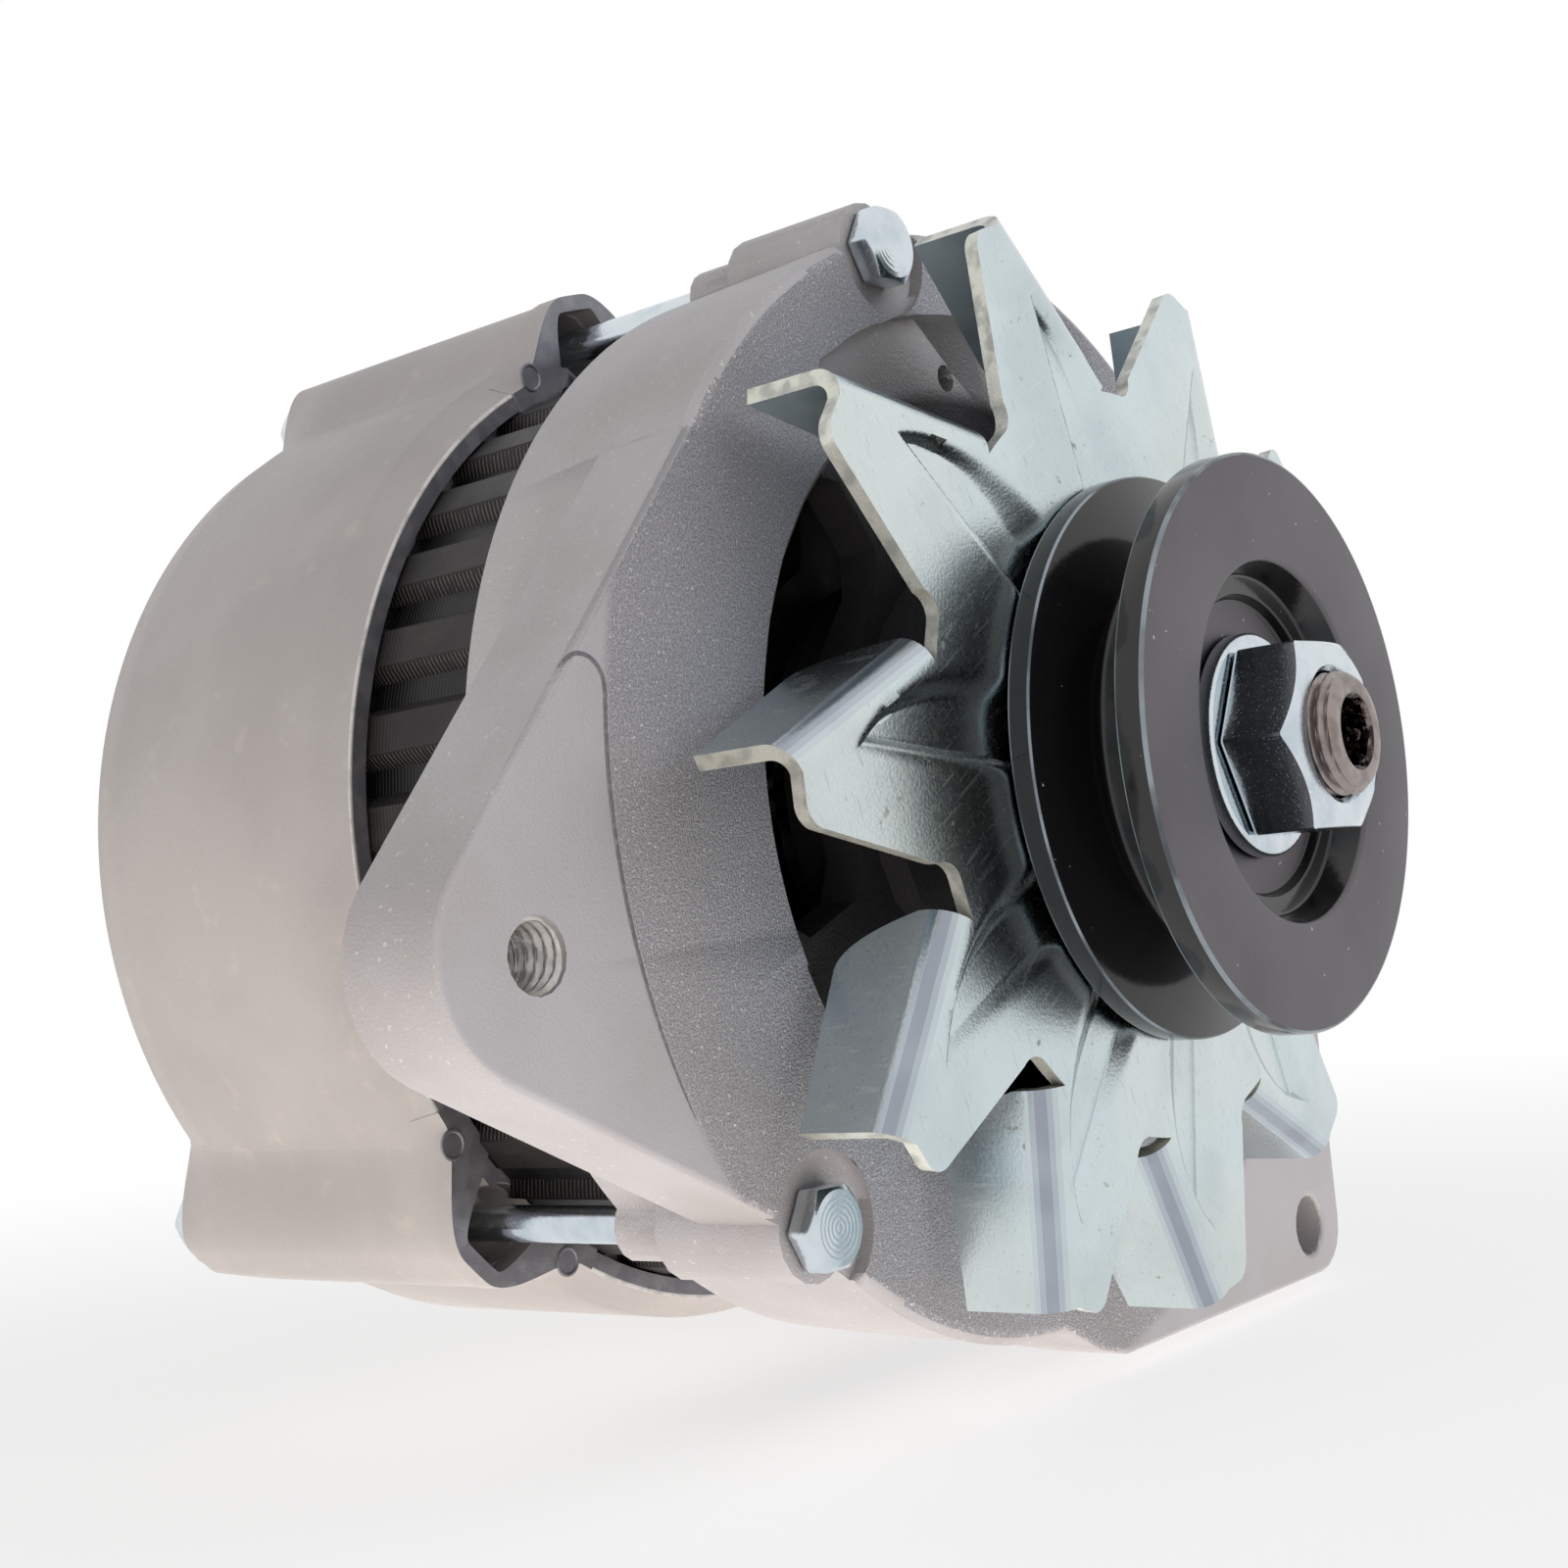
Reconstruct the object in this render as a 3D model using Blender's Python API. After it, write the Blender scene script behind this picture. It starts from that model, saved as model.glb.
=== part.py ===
"""Belt-driven engine alternator with a V-belt pulley, a pressed cooling fan and two cast end brackets.

The shaft runs along Y, with the pulley at the front (low Y). Sizes are in millimetres: t is a distance
behind the pulley's front face, x and z are measured from the shaft, and angles turn clockwise from
straight up, seen from the front. The world origin is the pivot hole's centre on the front of its lug.
"""
import math

import bmesh
import bpy
from mathutils import Matrix, Vector

MM = 0.001
FIT = 0.3             # gap kept between pieces that touch
SINK = 0.6            # how far solids that are joined reach into each other
OVERRUN = 1.0         # how far a cutter runs past the face it opens

# Facets round a turned piece
FINE, MEDIUM, COARSE = 36, 24, 16

# Sizes that the radii of both brackets, the rotor and the rectifier follow
CORE_R = 70.5
CASE_WALL = 7.5
RING_OUTER_R = CORE_R + CASE_WALL
BOLT_CIRCLE_R = RING_OUTER_R - 2.0
BELL_R = CORE_R + 6.0
FRONT_BEARING_R = 23.5
HUB_WALL = 9.5
DRIVE_HUB_R = FRONT_BEARING_R + HUB_WALL

# Pulley
PULLEY_R = 38.0
PULLEY_WIDTH = 18.9
GROOVE_FRONT_T = 3.8
GROOVE_TOP_WIDTH = 11.9
GROOVE_DEPTH = 11.0
GROOVE_ANGLE = 36.0
RECESS_R = 23.8
RECESS_STEP_R = 19.6
RECESS_STEP = 1.6
RECESS_DEPTH = 6.0
PULLEY_EDGE = 0.5
PULLEY_BOSS_R = 20.0
PULLEY_BOSS = 1.6

# Shaft and the pieces on its nose
THREAD_R = 8.0
THREAD_FRONT_T = -9.6
SHAFT_R = 8.5
SHOULDER_R = 11.0
ROTOR_SEAT_R = 9.5
SLIP_SEAT_R = 7.9
REAR_SEAT_R = 7.5
SOCKET_AF = 8.0
SOCKET_DEPTH = 7.0
WASHER_R = 14.8
WASHER_THICK = 2.4
NUT_AF = 24.0
NUT_HEIGHT = 10.0
NUT_FACE_R = 11.6
KEY_WIDTH = 4.0
KEY_HEIGHT = 6.0
KEY_LENGTH = 13.0
KEY_PROUD = 2.1

# Fan
FAN_SHEET = 2.0
FAN_FACE_T = 19.2
FAN_CONE_SLOPE = 0.0955
FAN_POCKET_DEPTH = 1.6
FAN_POCKET_SLOPE = 1.8
FAN_HUB_R = 33.0
FAN_RIDGE_R = 36.4
FAN_ROOT_R = 50.6
FAN_NOTCH_R = 3.0
FAN_BEND_R = 75.7
FAN_BEND_SWEEP = 17.2
FAN_TIP_R = 74.0
FAN_TIP_SWEEP = 24.3
FAN_BEND_INSIDE_R = 2.0
VANE_REAR_T = 36.8
VANE_EDGE = ((3.5, 0.1), (5.5, 0.5), (8.0, 0.86), (11.0, 1.0), (20.0, 1.0))
FAN_ROOT_ANGLES = (42.7, 2.3, -34.9, -71.3, -106.6, -137.4, -168.1, -200.1, -229.5, -259.5, -289.0)
FAN_POCKET_APEX_R = 64.6
FAN_POCKET_SWEEP = 17.8
FAN_POCKET_BOW_R = 55.5
FAN_POCKET_BOW_SWEEP = 10.0
FAN_POCKET_FROM = 2.6
FAN_POCKET_TO = 22.6
FAN_POCKET_TIP_R = 1.6

# Drive-end bracket
RING_FRONT_T = 42.0
RING_EDGE = 1.2
SKIRT_REAR_T = 73.0
SKIRT_REAR_R = RING_OUTER_R - 1.2
SKIRT_BORE_R = CORE_R - 2.5
OPENING_R = SKIRT_BORE_R - 12.5
OPENING_INNER_R = DRIVE_HUB_R + 3.5
OPENING_SWEEP = 73.0
OPENING_CORNER = (OPENING_R - OPENING_INNER_R) * 0.21
OPENING_ANGLES = (-76.0, 44.0, 164.0)
DISH_OUTER_R = OPENING_R + 10.8
DISH_SWEEP = 44.0
DISH_HOLE_R = 2.0
DISH_HOLE_CIRCLE_R = OPENING_R + 2.5
DISH_HOLE_SWEEP = 11.5
DISH_HOLE_DEPTH = 4.0
WEB_FRONT_T = 44.5
WEB_THICK = 6.0
WEB_RAMP = 2.5
HUB_FRONT_T = 40.5
HUB_PASSAGE_R = 15.0
SPACER_R = 13.5

# Adjusting ear on the left and pivot lug at the lower right
EAR_THICK = 14.5
EAR_HOLE_X = -RING_OUTER_R - 19.5
EAR_HOLE_Z = -18.8
EAR_HOLE_R = 4.4
EAR_TIP_R = 14.3
EAR_TOP_ANGLE = -57.0
EAR_TOP_LEAN = -50.3
EAR_LOW_LEAN = -152.8
EAR_LOW_ANGLE = -132.5
LUG_THICK = 14.5
LUG_HOLE_X = RING_OUTER_R - 0.8
LUG_HOLE_Z = 2.4 - RING_OUTER_R
LUG_HOLE_R = 4.8
LUG_SIDE = 11.3
LUG_FOOT = 8.4
LUG_CORNER_R = 8.0
LUG_FOOT_FROM_X = 15.0
LUG_TOP_Z = -34.0
LUG_TOP_ANGLE = 98.0
LUG_FOOT_ANGLE = 180.0
LUG_ROOT_R = RING_OUTER_R - 4.0
REAR_LUG_T = 108.0
REAR_LUG_THICK = 18.0
REAR_LUG_R = 11.3
REAR_LUG_SPREAD = 23.0

# Through bolts
BOLT_ANGLES = (-16.0, -136.0, 104.0)
BOLT_R = 2.5
BOLT_HOLE_R = 3.3
BOLT_HEAD_AF = 10.0
BOLT_HEAD = 3.7
BOLT_POCKET = 2.0
BOLT_POCKET_R = 9.5
BOLT_END = 2.2
BOSS_R = 7.5
FRONT_BOSS_R = 6.8
FRONT_BOSS_REAR_T = 64.0
FRONT_WAIST_R = 4.6
BOLT_NUT_AF = 10.0
BOLT_NUT = 5.0

# Stator
CORE_FRONT_T = 70.0
CORE_LENGTH = 32.0
CORE_BORE_R = CORE_R - 19.0
SLOTS = 36
SLOT_MOUTH_HALF = 1.2
SLOT_HALF = 2.1
SLOT_NECK_R = CORE_BORE_R + 2.5
SLOT_FLOOR_R = CORE_R - 6.5
RIB_DEPTH = 2.2
RIB_SHARE = 0.45
END_TURN_LENGTH = 11.5
END_TURN_SWELL = 2.0

# Rotor
ROTOR_R = CORE_BORE_R - 0.5
FINGERS = 6
POLE_FRONT_T = 66.0
POLE_REAR_T = 106.0
POLE_DISC = 11.0
FINGER_ROOT_R = ROTOR_R - 7.5
FINGER_TIP_R = ROTOR_R - 5.5
FINGER_ROOT_HALF = 18.0
FINGER_TIP_HALF = 6.5
FINGER_END_GAP = 2.0
VALLEY_R = ROTOR_R - 15.0
VALLEY_HALF = 6.0
ROTOR_CORE_R = 26.0
BOBBIN_R = FINGER_ROOT_R - 3.0
BOBBIN_WALL = 1.2

# Bearings
FRONT_BEARING_T = 44.0
FRONT_BEARING_WIDTH = 14.0
REAR_BEARING_T = 149.0
REAR_BEARING_WIDTH = 11.0
REAR_BEARING_R = 17.5
RACE_SHARE = 0.27
CAGE_SHARE = 0.5
BALLS = 7
BEARING_SHELF = 3.2
RETAINER_THICK = 2.0
RETAINER_CIRCLE_R = FRONT_BEARING_R + HUB_WALL / 2.0 + 0.15
RETAINER_SCREW_R = 2.0
RETAINER_HEAD_R = 3.4
RETAINER_HEAD = 2.0
RETAINER_SCREW_DEPTH = 8.0
RETAINER_ANGLES = (30.0, 150.0, 270.0)

# Slip rings and brushes
SLIP_RING_R = 12.5
SLIP_RING_INNER_R = 10.7
SLIP_RING_WIDTH = 6.5
SLIP_RING_GAP = 3.0
SLIP_SLEEVE_T = 122.0
SLIP_FLANGE = 2.0
SLIP_FLANGE_R = 12.0
BRUSH_LENGTH = 14.0
BRUSH_HALF_X = 2.3
BRUSH_HALF_Y = 2.9
BRUSH_SPRING_LENGTH = 12.0
SPRING_WIRE_R = 0.35
SPRING_TURNS = 4
HOLDER_WALL = 1.8
HOLDER_FOOT = 2.5
REGULATOR_HALF_X = 16.0
REGULATOR_HEIGHT = 9.0

# Slip-ring-end bracket
BELL_FRONT_T = 98.6
BELL_RIM_INNER_R = BELL_R - 3.1
BELL_RIM_R = BELL_R - 1.5
BELL_RIM = 3.4
SCALLOP_R = 5.8
SCALLOP_REAR_T = 108.0
BELL_WALL = 3.6
BELL_REAR_T = 162.0
BELL_SHOULDER_R = 15.0
SEAT_LIP_R = CORE_R - 2.0
SEAT_LIP = 3.2
REAR_HUB_WALL = 4.5
REAR_CAP = 3.5
TUBE_REAR_T = 160.0
VENTS = 9
VENT_INNER_R = 30.0
VENT_OUTER_R = BELL_R - 20.5
VENT_HALF = 4.6

# Rectifier and output terminal
RECTIFIER_T = 122.0
RECTIFIER_PLATE = 3.0
RECTIFIER_GAP = 13.0
RECTIFIER_OUTER_R = BELL_R - 10.5
RECTIFIER_INNER_R = RECTIFIER_OUTER_R - 32.0
RECTIFIER_FROM = 200.0
RECTIFIER_TO = 330.0
DIODE_R = 5.2
DIODE_HEIGHT = 5.8
DIODE_CIRCLE_R = RECTIFIER_OUTER_R - 10.0
UPPER_DIODE_ANGLES = (232.0, 258.0, 284.0)
LOWER_DIODE_ANGLES = (244.0, 270.0, 296.0)
POST_ANGLES = (208.0, 318.0)
POST_CIRCLE_R = RECTIFIER_OUTER_R - 6.0
POST_R = 4.6
POST_SCREW_R = 2.0
POST_SCREW_DEPTH = 8.0
POST_HEAD = 2.6
STUD_R = 3.0
STUD_ANGLE = 220.0
STUD_CIRCLE_R = RECTIFIER_INNER_R + 9.0
STUD_HEAD_AF = 10.0
STUD_HEAD = 3.0
STUD_PROUD = 15.0
INSULATOR_R = 5.4
INSULATOR_FLANGE_R = 8.4
INSULATOR_FLANGE = 3.0
STUD_NUT = 5.0

# Places that follow from the sizes above
SHAFT_X = -LUG_HOLE_X
SHAFT_Y = -RING_FRONT_T
SHAFT_Z = -LUG_HOLE_Z
PULLEY_REAR_T = PULLEY_WIDTH + PULLEY_BOSS
FAN_HUB_T = PULLEY_REAR_T + FIT
NUT_REAR_T = RECESS_DEPTH - WASHER_THICK - 2 * FIT
HUB_REAR_T = FRONT_BEARING_T + FRONT_BEARING_WIDTH
WEB_REAR_T = WEB_FRONT_T + WEB_THICK
CORE_REAR_T = CORE_FRONT_T + CORE_LENGTH
SEAT_R = CORE_R + FIT
REAR_BEARING_END_T = REAR_BEARING_T + REAR_BEARING_WIDTH
BELL_INNER_REAR_T = BELL_REAR_T - BELL_WALL
RETAINER_T = HUB_REAR_T + FIT
RETAINER_REAR_T = RETAINER_T + RETAINER_THICK
BOLT_FLOOR_T = RING_FRONT_T + BOLT_POCKET
BOLT_HEAD_REAR_T = BOLT_FLOOR_T - FIT
SLIP_RING_T = SLIP_SLEEVE_T + SLIP_FLANGE + FIT
SLIP_PITCH = SLIP_RING_WIDTH + SLIP_RING_GAP
BRUSH_T = SLIP_RING_T + SLIP_RING_WIDTH / 2.0
BRUSH_Z = SLIP_RING_R + FIT
BRUSH_TOP_Z = BRUSH_Z + BRUSH_LENGTH
HOLDER_TOP_Z = BRUSH_TOP_Z + BRUSH_SPRING_LENGTH + HOLDER_WALL
RECTIFIER_MID_T = RECTIFIER_T + RECTIFIER_PLATE
LOWER_PLATE_T = RECTIFIER_MID_T + RECTIFIER_GAP
LOWER_PLATE_REAR_T = LOWER_PLATE_T + RECTIFIER_PLATE


def polar(radius, degrees):
    """Point (x, z) at a radius and a clockwise angle from straight up."""
    angle = math.radians(degrees)
    return (radius * math.sin(angle), radius * math.cos(angle))


def arc(centre_x, centre_z, radius, start, end, count):
    """Points along a circular arc between two clockwise angles, ends included."""
    points = []
    for index in range(count):
        x, z = polar(radius, start + (end - start) * index / (count - 1))
        points.append((centre_x + x, centre_z + z))
    return points


def turned(profile, steps):
    """Solid of revolution round Y from a closed profile of (radius, t) points."""
    bm = bmesh.new()
    verts = [bm.verts.new((radius, t, 0.0)) for radius, t in profile]
    edges = [bm.edges.new((verts[i - 1], verts[i])) for i in range(len(verts))]
    bmesh.ops.spin(bm, geom=verts + edges, cent=(0, 0, 0), axis=(0, 1, 0), angle=2 * math.pi,
                   steps=steps, use_merge=True)
    bmesh.ops.remove_doubles(bm, verts=bm.verts, dist=0.001)
    bmesh.ops.dissolve_degenerate(bm, edges=bm.edges, dist=0.001)
    bmesh.ops.recalc_face_normals(bm, faces=bm.faces)
    return bm


def tube(inner, outer, front, rear, steps):
    """Plain ring round the shaft."""
    return turned([(inner, front), (outer, front), (outer, rear), (inner, rear)], steps)


def extrude_face(bm, face, step):
    """Turn one face into a solid by sweeping it along a step."""
    extruded = bmesh.ops.extrude_face_region(bm, geom=[face])
    moved = [item for item in extruded["geom"] if isinstance(item, bmesh.types.BMVert)]
    bmesh.ops.translate(bm, verts=moved, vec=step)
    bmesh.ops.recalc_face_normals(bm, faces=bm.faces)
    return bm


def prism(outline, front, rear):
    """Solid with an (x, z) outline, running along Y from front to rear."""
    bm = bmesh.new()
    face = bm.faces.new([bm.verts.new((x, front, z)) for x, z in outline])
    return extrude_face(bm, face, (0, rear - front, 0))


def round_bar(x, z, radius, front, rear, steps=COARSE):
    """Cylinder along Y with its axis at x, z."""
    return prism(arc(x, z, radius, 0.0, 360.0 - 360.0 / steps, steps), front, rear)


def block(low, high):
    """Box between two corners given as (x, t, z)."""
    outline = [(low[0], low[2]), (high[0], low[2]), (high[0], high[2]), (low[0], high[2])]
    return prism(outline, low[1], high[1])


def hexagon(x, z, across_flats):
    """Corners of a hexagon with its flats a given distance apart."""
    return arc(x, z, across_flats / 2.0 / math.cos(math.radians(30.0)), 0.0, 300.0, 6)


def merged(shapes):
    """One mesh that holds several solids that stay apart."""
    whole = bmesh.new()
    for shape in shapes:
        mesh = bpy.data.meshes.new("shape")
        shape.to_mesh(mesh)
        shape.free()
        whole.from_mesh(mesh)
        bpy.data.meshes.remove(mesh)
    return whole


def combine(base, tool, operation):
    """Join, cut or intersect two solids and return the result as a new mesh."""
    holders = []
    for label, source in (("base", base), ("tool", tool)):
        mesh = bpy.data.meshes.new(label)
        source.to_mesh(mesh)
        source.free()
        holder = bpy.data.objects.new(label, mesh)
        bpy.context.scene.collection.objects.link(holder)
        holders.append(holder)
    modifier = holders[0].modifiers.new("combine", 'BOOLEAN')
    modifier.operation = operation
    modifier.object = holders[1]
    modifier.solver = 'EXACT'
    result = bmesh.new()
    result.from_object(holders[0], bpy.context.evaluated_depsgraph_get())
    for holder in holders:
        mesh = holder.data
        bpy.data.objects.remove(holder)
        bpy.data.meshes.remove(mesh)
    bmesh.ops.remove_doubles(result, verts=result.verts, dist=0.004)
    bmesh.ops.dissolve_degenerate(result, edges=result.edges, dist=0.004)
    return result


def cut(base, *tools):
    """Take solids away from a solid."""
    return combine(base, merged(tools), 'DIFFERENCE')


def join(base, *tools):
    """Make one solid of a base and the solids that overlap it, one after the other."""
    for tool in tools:
        base = combine(base, tool, 'UNION')
    return base


def linear(channel):
    """Linear value of an sRGB channel from 0 to 1."""
    return channel / 12.92 if channel <= 0.04045 else ((channel + 0.055) / 1.055) ** 2.4


def material(name, colour, metallic, roughness):
    """Principled material from an sRGB hex colour, made once and then shared."""
    found = bpy.data.materials.get(name)
    if found:
        return found
    made = bpy.data.materials.new(name)
    made.use_nodes = True
    shader = made.node_tree.nodes["Principled BSDF"]
    channels = [linear(int(colour[i:i + 2], 16) / 255.0) for i in (0, 2, 4)]
    shader.inputs["Base Color"].default_value = (*channels, 1.0)
    shader.inputs["Metallic"].default_value = metallic
    shader.inputs["Roughness"].default_value = roughness
    return made


def cast_aluminium():
    """Blasted die-cast aluminium of the two brackets."""
    return material("cast_aluminium", "9D9A99", 0.85, 0.5)


def zinc_plate():
    """Bright zinc plate of the fan and the fasteners."""
    return material("zinc_plate", "CDD8D8", 1.0, 0.28)


def black_steel():
    """Black finish of the pulley."""
    return material("black_steel", "2A282A", 0.9, 0.35)


def bare_steel():
    """Ground steel of the shaft and the bearings."""
    return material("bare_steel", "8F8A88", 1.0, 0.3)


def laminated_steel():
    """Dark varnished steel of the stator and the claw poles."""
    return material("laminated_steel", "24242A", 0.7, 0.5)


def copper_enamel():
    """Varnished copper wire of the windings."""
    return material("copper_enamel", "7A3B22", 0.6, 0.4)


def bright_copper():
    """Copper of the slip rings."""
    return material("bright_copper", "B86B45", 1.0, 0.3)


def black_plastic():
    """Moulded plastic of the insulators and holders."""
    return material("black_plastic", "1B1B1D", 0.0, 0.5)


def pressed_carbon():
    """Carbon of the brushes."""
    return material("pressed_carbon", "2E2C2B", 0.1, 0.7)


def place(name, bm, finish, parent, sharp_angle=35.0):
    """Put a mesh built in millimetres round its parent's origin into the scene as a named piece."""
    bmesh.ops.scale(bm, verts=bm.verts, vec=(MM, MM, MM))
    mesh = bpy.data.meshes.new(name)
    bm.to_mesh(mesh)
    bm.free()
    mesh.shade_smooth()
    mesh.set_sharp_from_angle(angle=math.radians(sharp_angle))
    mesh.materials.append(finish)
    piece = bpy.data.objects.new(name, mesh)
    bpy.context.scene.collection.objects.link(piece)
    piece.parent = parent
    return piece


def axis_empty(name, parent, x, t, z):
    """Empty on a joint's axis, at a place given in millimetres from its parent."""
    empty = bpy.data.objects.new(name, None)
    bpy.context.scene.collection.objects.link(empty)
    empty.parent = parent
    empty.location = Vector((x, t, z)) * MM
    return empty


def build_pulley(rotor):
    """V-belt pulley with a recessed face, a keyed bore and a short rear boss."""
    bore = SHAFT_R + FIT
    narrowing = GROOVE_DEPTH * math.tan(math.radians(GROOVE_ANGLE / 2.0))
    groove_rear = GROOVE_FRONT_T + GROOVE_TOP_WIDTH
    floor_r = PULLEY_R - GROOVE_DEPTH
    step_t = RECESS_DEPTH - RECESS_STEP
    body = turned([(RECESS_R, PULLEY_EDGE), (RECESS_R + PULLEY_EDGE, 0.0), (PULLEY_R - PULLEY_EDGE, 0.0),
                   (PULLEY_R, PULLEY_EDGE), (PULLEY_R, GROOVE_FRONT_T), (floor_r, GROOVE_FRONT_T + narrowing),
                   (floor_r, groove_rear - narrowing), (PULLEY_R, groove_rear), (PULLEY_R, PULLEY_WIDTH),
                   (PULLEY_BOSS_R, PULLEY_WIDTH), (PULLEY_BOSS_R, PULLEY_REAR_T), (bore, PULLEY_REAR_T),
                   (bore, RECESS_DEPTH), (RECESS_STEP_R, RECESS_DEPTH), (RECESS_STEP_R, step_t),
                   (RECESS_R, step_t)], FINE)
    half = KEY_WIDTH / 2.0 + FIT
    keyway = block((-half, RECESS_DEPTH - OVERRUN, 0.0),
                   (half, PULLEY_REAR_T + OVERRUN, SHAFT_R + KEY_PROUD + FIT))
    place("pulley", cut(body, keyway), black_steel(), rotor)


def key_blank(grow, top):
    """Half-moon key shape, grown by a clearance, with its flat top at a height above the shaft axis."""
    centre_t = (RECESS_DEPTH + PULLEY_REAR_T) / 2.0
    centre_z = SHAFT_R + KEY_PROUD
    half = KEY_WIDTH / 2.0 + grow
    steps = 10
    points = []
    for index in range(steps + 1):
        angle = -math.pi * index / steps
        points.append((centre_t + (KEY_LENGTH / 2.0 + grow) * math.cos(angle),
                       centre_z + (KEY_HEIGHT + grow) * math.sin(angle)))
    if top > centre_z:
        points.append((points[-1][0], top))
        points.append((points[0][0], top))
    bm = bmesh.new()
    face = bm.faces.new([bm.verts.new((-half, t, z)) for t, z in points])
    return extrude_face(bm, face, (2.0 * half, 0, 0))


def build_shaft(rotor):
    """Stepped rotor shaft with a threaded nose, a socket in its end and a seat for the key."""
    edge = 0.8
    shoulder_t = HUB_REAR_T + FIT
    end_t = REAR_BEARING_END_T + OVERRUN
    body = turned([(0.0, THREAD_FRONT_T), (THREAD_R - edge, THREAD_FRONT_T), (THREAD_R, THREAD_FRONT_T + edge),
                   (THREAD_R, RECESS_DEPTH), (SHAFT_R, RECESS_DEPTH + FIT), (SHAFT_R, shoulder_t),
                   (SHOULDER_R, shoulder_t), (SHOULDER_R, POLE_FRONT_T - FIT), (ROTOR_SEAT_R, POLE_FRONT_T - FIT),
                   (ROTOR_SEAT_R, POLE_REAR_T), (SLIP_SEAT_R, POLE_REAR_T + edge),
                   (SLIP_SEAT_R, REAR_BEARING_T - FIT), (REAR_SEAT_R, REAR_BEARING_T - FIT),
                   (REAR_SEAT_R, end_t - edge), (REAR_SEAT_R - edge, end_t), (0.0, end_t)], 20)
    socket = prism(hexagon(0.0, 0.0, SOCKET_AF), THREAD_FRONT_T - OVERRUN, THREAD_FRONT_T + SOCKET_DEPTH)
    body = cut(body, socket, key_blank(FIT, SHAFT_R + KEY_PROUD + OVERRUN))
    place("rotor_shaft", body, bare_steel(), rotor)
    place("shaft_key", key_blank(0.0, 0.0), bare_steel(), rotor)


def build_nose_fasteners(rotor):
    """Washer and chamfered nut that clamp the pulley."""
    washer_t = NUT_REAR_T + FIT
    washer = tube(THREAD_R + FIT, WASHER_R, washer_t, washer_t + WASHER_THICK, MEDIUM)
    place("pulley_washer", washer, zinc_plate(), rotor)
    front = NUT_REAR_T - NUT_HEIGHT
    corner = NUT_AF / 2.0 / math.cos(math.radians(30.0)) + FIT
    slope = (corner - NUT_FACE_R) * 0.62
    blank = turned([(THREAD_R + FIT, front), (NUT_FACE_R, front), (corner, front + slope),
                    (corner, NUT_REAR_T), (THREAD_R + FIT, NUT_REAR_T)], MEDIUM)
    nut = combine(blank, prism(hexagon(0.0, 0.0, NUT_AF), front - OVERRUN, NUT_REAR_T + OVERRUN), 'INTERSECT')
    place("pulley_nut", nut, zinc_plate(), rotor)


def build_spacer(rotor):
    """Collar between the fan's hub and the front bearing's inner race."""
    collar = tube(SHAFT_R + FIT, SPACER_R, FAN_HUB_T + FAN_SHEET + FIT, FRONT_BEARING_T - FIT, MEDIUM)
    place("spacer_collar", collar, bare_steel(), rotor)


def turned_point(point, degrees):
    """An (x, z) point carried clockwise round the shaft."""
    angle = math.radians(degrees)
    x, z = point
    return (x * math.cos(angle) + z * math.sin(angle), z * math.cos(angle) - x * math.sin(angle))


def sheet_t(x, z, sunk):
    """Middle of the fan's coned sheet at a place, or of its pressed floor."""
    level = FAN_FACE_T + FAN_SHEET / 2.0 + FAN_CONE_SLOPE * (math.hypot(x, z) - PULLEY_R)
    return level + (FAN_POCKET_DEPTH if sunk else 0.0)


class PetalShape:
    """Points of one fan petal, in the sheet's middle, with its root notch straight up."""

    def __init__(self):
        root = Vector((0.0, FAN_ROOT_R))
        corner = Vector(polar(FAN_BEND_R, -FAN_BEND_SWEEP))
        self.along = (corner - root).normalized()
        self.outward = Vector((self.along.y, -self.along.x))
        length = (corner - root).length
        self.stations = [*VANE_EDGE, (length, 1.0)]
        inset = self.outward * (FAN_BEND_INSIDE_R + FAN_SHEET)
        self.bend_line = [tuple(root + self.along * s - inset) for s, _ in self.stations]
        self.free_corner = polar(FAN_TIP_R, -FAN_TIP_SWEEP)
        self.notch = arc(0.0, FAN_ROOT_R + FAN_NOTCH_R, FAN_NOTCH_R, 90.0, 180.0, 4)

    def pocket(self):
        """Rim of the pressed triangle, from its clockwise foot round its tip to its other foot."""
        tip = Vector(polar(FAN_POCKET_APEX_R - FAN_POCKET_TIP_R, -FAN_POCKET_SWEEP))
        return [polar(FAN_RIDGE_R, -FAN_POCKET_FROM), polar(FAN_POCKET_BOW_R, -FAN_POCKET_BOW_SWEEP),
                (tip.x + FAN_POCKET_TIP_R, tip.y + FAN_POCKET_TIP_R * 0.4),
                (tip.x, tip.y + FAN_POCKET_TIP_R),
                (tip.x - FAN_POCKET_TIP_R, tip.y), polar(FAN_RIDGE_R, -FAN_POCKET_TO)]

    def pocket_floor(self):
        """The rim's points moved inwards by the pressed slope."""
        rim = self.pocket()
        middle = Vector(polar((FAN_RIDGE_R + FAN_POCKET_APEX_R) / 2.0, -FAN_POCKET_SWEEP * 0.85))
        floor = []
        for point in rim:
            inwards = (middle - Vector(point)).normalized() * FAN_POCKET_SLOPE
            floor.append((point[0] + inwards.x, point[1] + inwards.y))
        return floor


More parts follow.
